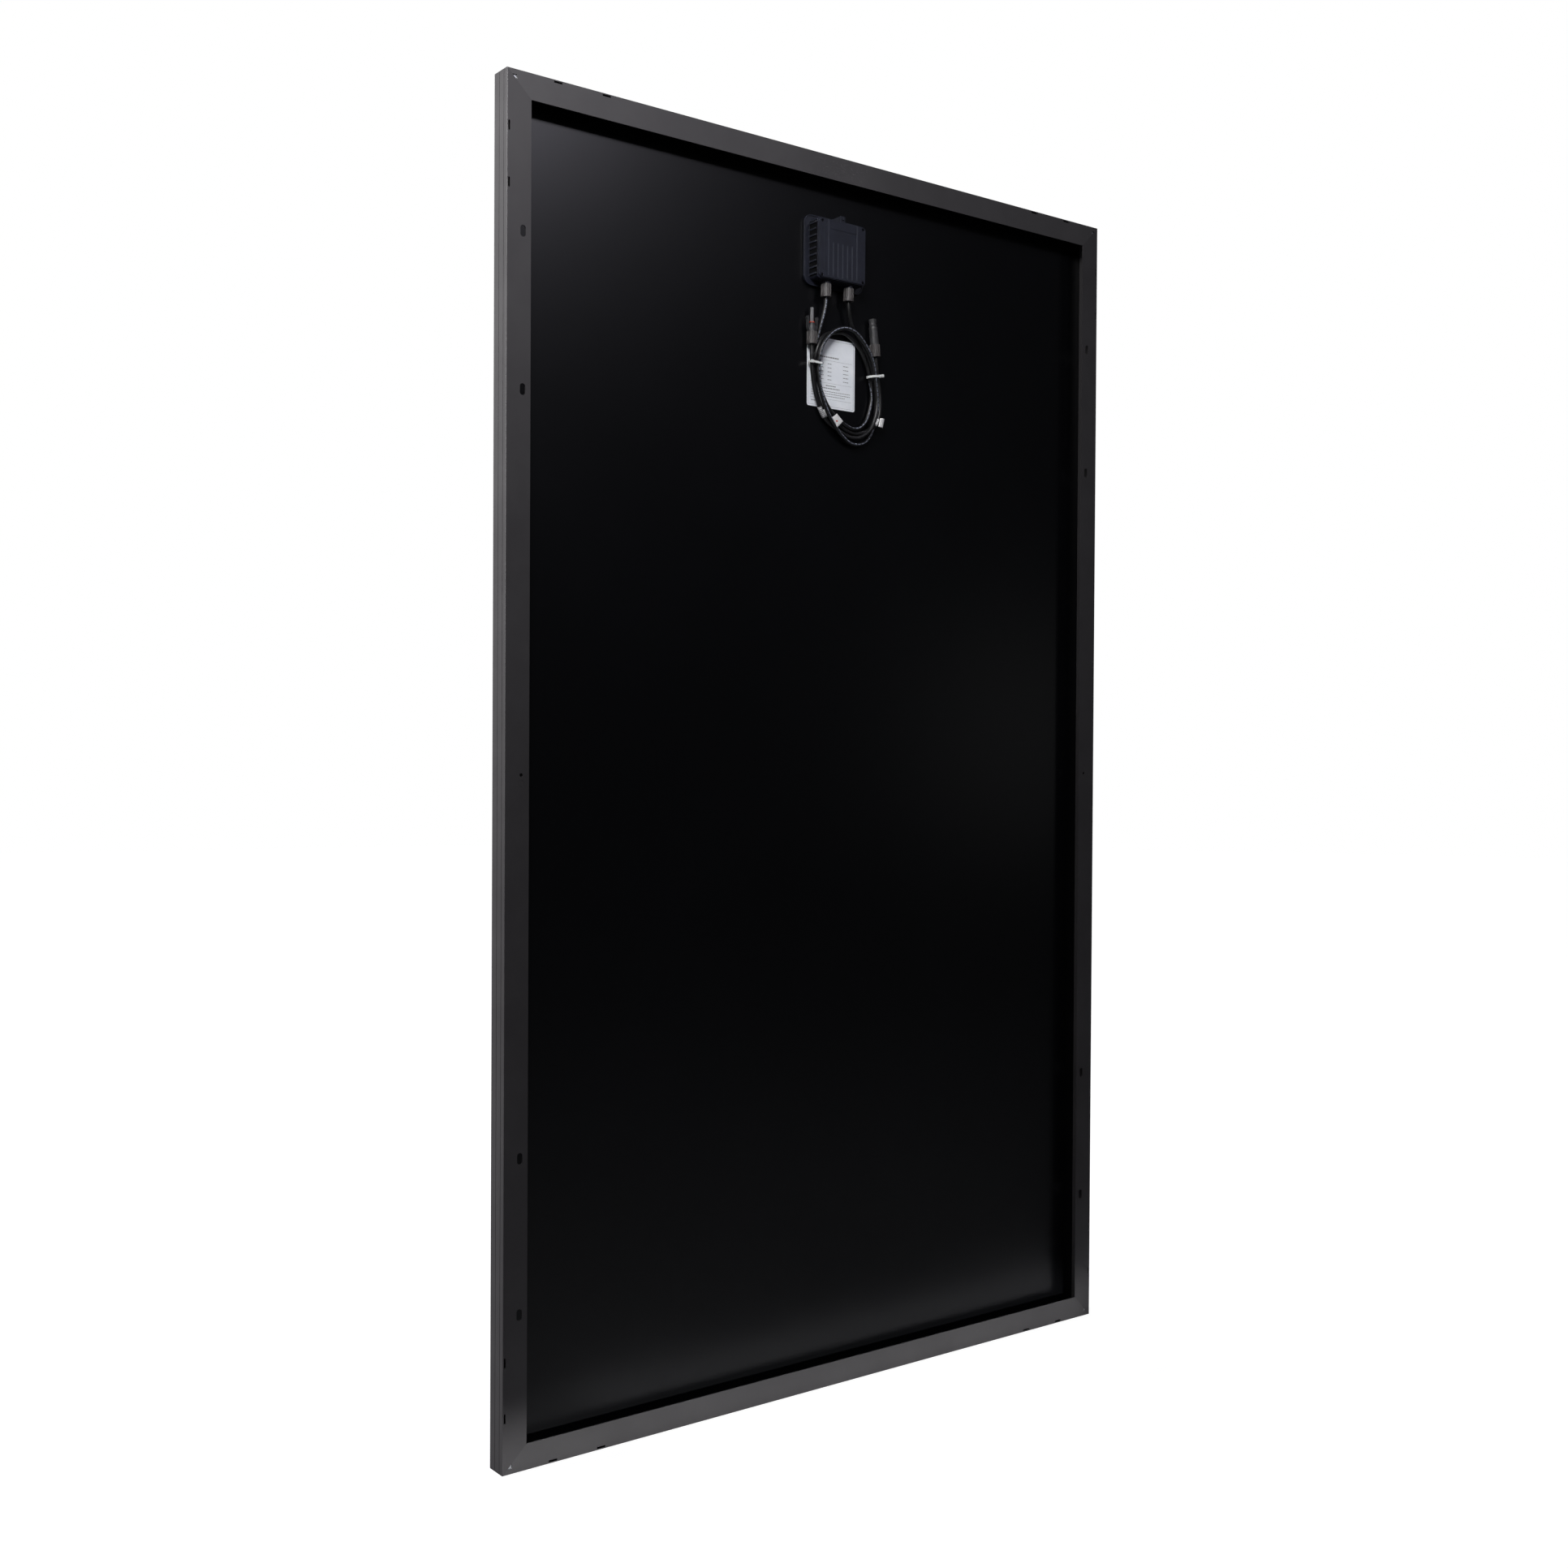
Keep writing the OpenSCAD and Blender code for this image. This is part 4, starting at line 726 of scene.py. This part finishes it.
def tie(name, x0, x1, z, lean, head_side):
    """A tie around the strands from x0 to x1, leaning in degrees, with its head at one side."""
    mesh_data = bmesh.new()
    half = (x1 - x0) / 2
    ring = bmesh.ops.create_circle(mesh_data, cap_ends=False, radius=1, segments=64)["verts"]
    for vert in ring:
        c, s = vert.co.x, vert.co.y
        x = math.copysign(abs(c) ** SQUARE_X, c) * half * MM
        rise = math.copysign(abs(s) ** SQUARE_Y, s) * (TIE_HIGH - TIE_LOW) / 2
        y = -((TIE_LOW + TIE_HIGH) / 2 + rise) * MM
        vert.co = (x, y, -TIE_W / 2)
    grown = bmesh.ops.extrude_edge_only(mesh_data, edges=mesh_data.edges)["geom"]
    far_side = [g for g in grown if isinstance(g, bmesh.types.BMVert)]
    bmesh.ops.translate(mesh_data, vec=(0, 0, TIE_W), verts=far_side)
    bmesh.ops.recalc_face_normals(mesh_data, faces=mesh_data.faces)
    bmesh.ops.solidify(mesh_data, geom=mesh_data.faces, thickness=-TIE_T)
    rims = [e for e in mesh_data.edges if e.is_manifold and e.calc_face_angle() > 0.9]
    bmesh.ops.bevel(mesh_data, geom=rims, offset=TIE_EDGE, offset_type="OFFSET", affect="EDGES", segments=2,
                    profile=0.5, clamp_overlap=True, material=-1)
    for size, (shift_x, shift_y) in TIE_BLOCKS:
        block = bmesh.ops.create_cube(mesh_data, size=MM)["verts"]
        bmesh.ops.scale(mesh_data, vec=size, verts=block)
        x = head_side * (half - HEAD_INSET) + shift_x * head_side
        place = (x * MM, (shift_y - TIE_HIGH + HEAD_DROP) * MM, 0)
        bmesh.ops.translate(mesh_data, vec=place, verts=block)
        corners = list({e for v in block for e in v.link_edges})
        bmesh.ops.bevel(mesh_data, geom=corners, offset=min(size) * BLOCK_ROUND * MM, offset_type="OFFSET",
                        affect="EDGES", segments=2, profile=0.5, clamp_overlap=True, material=-1)
    turn = Matrix.Translation(at((x0 + x1) / 2, 0, z)) @ Matrix.Rotation(math.radians(lean), 4, "Y")
    bmesh.ops.transform(mesh_data, matrix=turn, verts=mesh_data.verts)
    piece = made_object(name + "_strap", mesh_data)
    hand_over(piece, tie_nylon, "root", "tie_nylon", name)
    return piece


tie_one = tie("tie_left", -43.4, -23.6, -153, 3, -1)
tie_two = tie("tie_right", 58.4, 82.4, -157.5, -10, 1)

# %% [markdown]
# ## Paper labels on the leads
# A wrap label is a short sleeve around its strand. A flag label is folded around the strand and glued to
# itself, so it stands off with a slight curl. The wrap carries plain stripes, and one flag a plain red mark.

# %% Wraps and flags
SLEEVE_R, SLEEVE_SIDES, SLEEVE_WALL = CABLE_R + 0.35 * MM, 24, 0.3 * MM
# Strands on the glass's side of this place count as farther away, by this share of the difference.
LOW_Y, LOW_COST = -2 * MM, 0.5


def stretch_near(line, x, z, long):
    """The stretch of a lead, about so long, that is nearest to a place; strands that lie low count as
    farther away."""
    n = min(range(len(line)), key=lambda i: math.hypot(line[i].x - x * MM, line[i].z - z * MM)
            + max(0.0, line[i].y - LOW_Y) * LOW_COST)
    count = max(2, round(long * MM / 2 / (line[1] - line[0]).length))
    return line[max(0, n - count):n + count + 1]


def sleeve_on(name, line, x, z, long):
    """A thin sleeve around the stretch of a lead that is nearest to a place."""
    untwisted = stepped(((0, 0), (1, 0)))
    return swept_tube(name, stretch_near(line, x, z, long), SLEEVE_R, untwisted, SLEEVE_SIDES, SLEEVE_WALL)


def curled(name, corners, height, curl, thick=0.2):
    """A thin sheet between four corners, gently curled away from the backsheet."""
    mesh_data = bmesh.new()
    sheet = bmesh.ops.create_grid(mesh_data, x_segments=10, y_segments=10, size=1)["verts"]
    for vert in sheet:
        u, v = (vert.co.x + 1) / 2, (vert.co.y + 1) / 2
        low = Vector(corners[0]).lerp(Vector(corners[1]), u)
        high = Vector(corners[3]).lerp(Vector(corners[2]), u)
        spot = low.lerp(high, v)
        off = height + curl * (math.sin(math.pi * u) + 0.4 * v)
        vert.co = (spot.x * MM, (SHEET_Y - off) * MM, spot.y * MM)
    bmesh.ops.recalc_face_normals(mesh_data, faces=mesh_data.faces)
    bmesh.ops.solidify(mesh_data, geom=mesh_data.faces, thickness=thick * MM)
    for face in mesh_data.faces:
        face.smooth = True
    return made_object(name, mesh_data)


STRIPE_STEP, STRIPE_SHARE = 2.4 * MM, 0.4
striped = finish("striped_paper", (0.55, 0.55, 0.56), (0.47, 0.47, 0.48), (0.5, 0.7), 150, 900, 0.2)
tree, shader, base = opened(striped)
place = parts_of_place(tree, "ShaderNodeUVMap", "UV", uv_map="UVMap")
stripe_share = maths(tree, "FRACT", maths(tree, "DIVIDE", place["X"], STRIPE_STEP))
stripe = maths(tree, "LESS_THAN", stripe_share, STRIPE_SHARE)
paint_over(tree, shader, base, stripe, (0.16, 0.16, 0.17))
wrap = sleeve_on("wrap_label_left_round", plug_line, -15.5, 1330.5, 15)
hand_over(wrap, striped, "root", "label_film", "wrap_label_left")
sleeve = sleeve_on("flag_sleeve_left", socket_line, -5, 1333.5, 12)
hand_over(sleeve, paper, "root", "label_film")
flag = curled("flag_left", ((6, 1312), (16, 1322), (5, 1331), (-3, 1325)), 13.4, 0.9)
hand_over(flag, paper, "root", "label_film", "flag_label_left")
tag = curled("flag_right", ((79, 1322), (87, 1321), (90, 1334), (82, 1334)), 12.6, 1.0)
hand_over(tag, paper, "root", "label_film", "flag_label_right")
mark = curled("flag_mark", ((3.2, 1319.5), (6.4, 1319.7), (6, 1321.6), (3.1, 1321.3)), 14.2, 0.3, 0.05)
hand_over(mark, red_rubber, "root", "label_film")
band = sleeve_on("flag_sleeve_right", socket_line, 78, 1328.5, 9)
hand_over(band, paper, "root", "label_film")

# %% [markdown]

# %% [markdown]
# ## Print on the rating label
# The label has a frame line, rules, a table and a few lines of small print. Only plain bars stand for the
# words, each a hair-thin layer of ink. Their lengths vary as words do.

# %% Label print
# The label's middle and thickness, the ink's and the rules' thickness, and half the frame line's sizes.
LABEL_X, LABEL_Z, LABEL_T = 4.9, 1387.3, 0.2
INK_T, RULE_T, FRAME_X, FRAME_Z = 0.02, 0.25, 39, 45.2
# The shortest word, how much longer words get, the gap between words, and the least that is drawn.
WORD, WORD_MORE, WORD_GAP, WORD_LEAST = 1.2, 2.4, 0.6, 0.7


def bar(mesh_data, x, z, width, height):
    """One bar of ink; x and z are its middle as seen from the label's middle."""
    box = bmesh.ops.create_cube(mesh_data, size=MM)["verts"]
    bmesh.ops.scale(mesh_data, vec=(width, INK_T, height), verts=box)
    place = ((LABEL_X + x) * MM, (SHEET_Y - LABEL_T - INK_T / 2) * MM, (LABEL_Z + z) * MM)
    bmesh.ops.translate(mesh_data, vec=place, verts=box)


def words(mesh_data, x0, x1, z, height, seed):
    """Bars like the words of one line, from x0 to about x1."""
    x, n = x0, seed
    while x < x1:
        n += 1
        width = WORD + WORD_MORE * abs(math.sin(n * 12.9898))
        width = min(width, x1 - x)
        if width > WORD_LEAST:
            bar(mesh_data, x + width / 2, z, width, height)
        x += width + WORD_GAP


ink_mesh = bmesh.new()
words(ink_mesh, -17, 13, 22, 1.7, 3)
for z in (17.5, -13.5, -35.5):
    bar(ink_mesh, 0, z, 72, RULE_T)
for row in range(5):
    for column, (x, long) in enumerate(((-33, 20), (-6, 6.5), (21, 9))):
        words(ink_mesh, x, x + long, 13 - 5.4 * row, 0.95, 5 * row + column)
words(ink_mesh, -9, 8, -17, 1.3, 41)
words(ink_mesh, -16, 15, -20.5, 1.2, 52)
for row in range(3):
    words(ink_mesh, -34, 33 - 9 * (row == 2), -25 - 3.2 * row, 0.8, 60 + 7 * row)
words(ink_mesh, -34, -20, -39.5, 1.1, 90)
for z in (FRAME_Z, -FRAME_Z):
    bar(ink_mesh, 0, z, 2 * FRAME_X, RULE_T)
for x in (-FRAME_X, FRAME_X):
    bar(ink_mesh, x, 0, RULE_T, 2 * FRAME_Z)
printed = made_object("rating_print", ink_mesh)
hand_over(printed, ink, "root", "label_film")

# %% [markdown]
# ## Surroundings and floor
# The panel stands on a plain floor in a white room. The surroundings look white to the camera and shine
# far less on the panel, so that the black surfaces stay deep. The floor is lifted towards white for the
# camera alone, a little less near the panel's foot.

# %% World
world = bpy.data.worlds.new("studio")
bpy.context.scene.world = world
world.use_nodes = True
tree = world.node_tree
tree.nodes.clear()
seen = add(tree, "ShaderNodeBackground", Strength=1.0)
seen.inputs["Color"].default_value = (1, 1, 1, 1)
lit = add(tree, "ShaderNodeBackground", Strength=0.028)
lit.inputs["Color"].default_value = (0.9, 0.94, 1, 1)
path = add(tree, "ShaderNodeLightPath")
either = add(tree, "ShaderNodeMixShader")
end = add(tree, "ShaderNodeOutputWorld")
tree.links.new(path.outputs["Is Camera Ray"], either.inputs["Fac"])
tree.links.new(lit.outputs[0], either.inputs[1])
tree.links.new(seen.outputs[0], either.inputs[2])
tree.links.new(either.outputs[0], end.inputs[0])
bpy.context.scene.view_settings.view_transform = "Standard"
print("world:", world.name)

# %% Floor
floor_mesh = bmesh.new()
bmesh.ops.create_circle(floor_mesh, cap_ends=True, radius=14, segments=96)
floor_data = bpy.data.meshes.new("floor")
floor_mesh.to_mesh(floor_data)
floor_mesh.free()
floor = bpy.data.objects.new("floor", floor_data)
floor.location = (0, 0, -0.0005)
bpy.context.scene.collection.objects.link(floor)
pale = bpy.data.materials.new("pale_floor")
pale.use_nodes = True
tree = pale.node_tree
tree.nodes.clear()
matt = add(tree, "ShaderNodeBsdfDiffuse")
matt.inputs["Color"].default_value = (0.2, 0.2, 0.21, 1)
lift = add(tree, "ShaderNodeEmission")
path = add(tree, "ShaderNodeLightPath")
floor_place = add(tree, "ShaderNodeTexCoord")
away = add(tree, "ShaderNodeVectorMath", operation="LENGTH")
tree.links.new(floor_place.outputs["Object"], away.inputs[0])
fade = add(tree, "ShaderNodeMapRange", interpolation_type="SMOOTHSTEP")
for label, value in (("From Min", 0.5), ("From Max", 1.2), ("To Min", 0.93), ("To Max", 1.0)):
    fade.inputs[label].default_value = value
tree.links.new(away.outputs["Value"], fade.inputs["Value"])
only_seen = maths(tree, "MULTIPLY", path.outputs["Is Camera Ray"], fade.outputs["Result"])
tree.links.new(only_seen, lift.inputs["Strength"])
both = add(tree, "ShaderNodeAddShader")
end = add(tree, "ShaderNodeOutputMaterial")
tree.links.new(matt.outputs[0], both.inputs[0])
tree.links.new(lift.outputs[0], both.inputs[1])
tree.links.new(both.outputs[0], end.inputs[0])
floor_data.materials.append(pale)
print("floor:", floor.name)

# %% [markdown]
# ## Lights
# Two soft lights at the upper left model the top of the frame. One draws the sheen on the backsheet and a
# faint one glows near its right side. The side light is for the left wall of the frame, the front one for
# the glass, and the right one for the far rail. Three narrow ones pick out the coil, the bottom rail, and a
# strip of the floor in front of it. Each call gives the light's place, what it looks at, its two sizes,
# its power in watts, and, where they matter, the spread in degrees and the colour.

# %% Soft lights


def soft_light(name, place, target, size, power, spread=180, colour=(1, 1, 1)):
    """A rectangular light at a place, turned towards a target."""
    data = bpy.data.lights.new(name, "AREA")
    data.color = colour
    data.shape = "RECTANGLE"
    data.size, data.size_y = size
    data.energy = power
    data.spread = math.radians(spread)
    light = bpy.data.objects.new(name, data)
    direction = Vector(target) - Vector(place)
    light.matrix_world = Matrix.Translation(place) @ direction.to_track_quat("-Z", "Y").to_matrix().to_4x4()
    bpy.context.scene.collection.objects.link(light)


soft_light("upper_left", (-1.0, -1.1, 2.3), (-0.3, 0, 1.4), (0.6, 0.5), 14)
soft_light("corner", (-0.75, -0.5, 2.0), (-0.4, 0, 1.5), (0.3, 0.3), 3.2)
soft_light("sheen", (0.82, -2.7, 2.93), (-0.3, 0, 1.3), (0.5, 0.4), 9.5, 180, (0.9, 0.88, 1))
soft_light("glow", (2.6, -2.3, 0.95), (0.4, 0, 0.9), (0.5, 0.7), 0.28)
soft_light("side", (-2.6, 0.9, 1.9), (-0.5, 0, 1.0), (0.8, 1.6), 90)
soft_light("front", (0.6, 3.2, 2.6), (0, 0, 0.8), (2.4, 1.6), 60)
soft_light("right", (3.0, -0.3, 1.6), (0.5, 0, 0.8), (1.0, 1.6), 1)
soft_light("coil", (-0.7, -0.9, 2.0), (0.03, 0, 1.41), (0.2, 0.2), 0.085, 24)
soft_light("low", (-0.05, -0.6, 0.03), (-0.05, 0, 0.01), (1.1, 0.02), 0.24, 16)
soft_light("floor_strip", (0.2, -0.13, 0.25), (0.2, -0.13, 0), (1.0, 0.06), 0.8, 40)
print("lights:", len(bpy.data.lights))
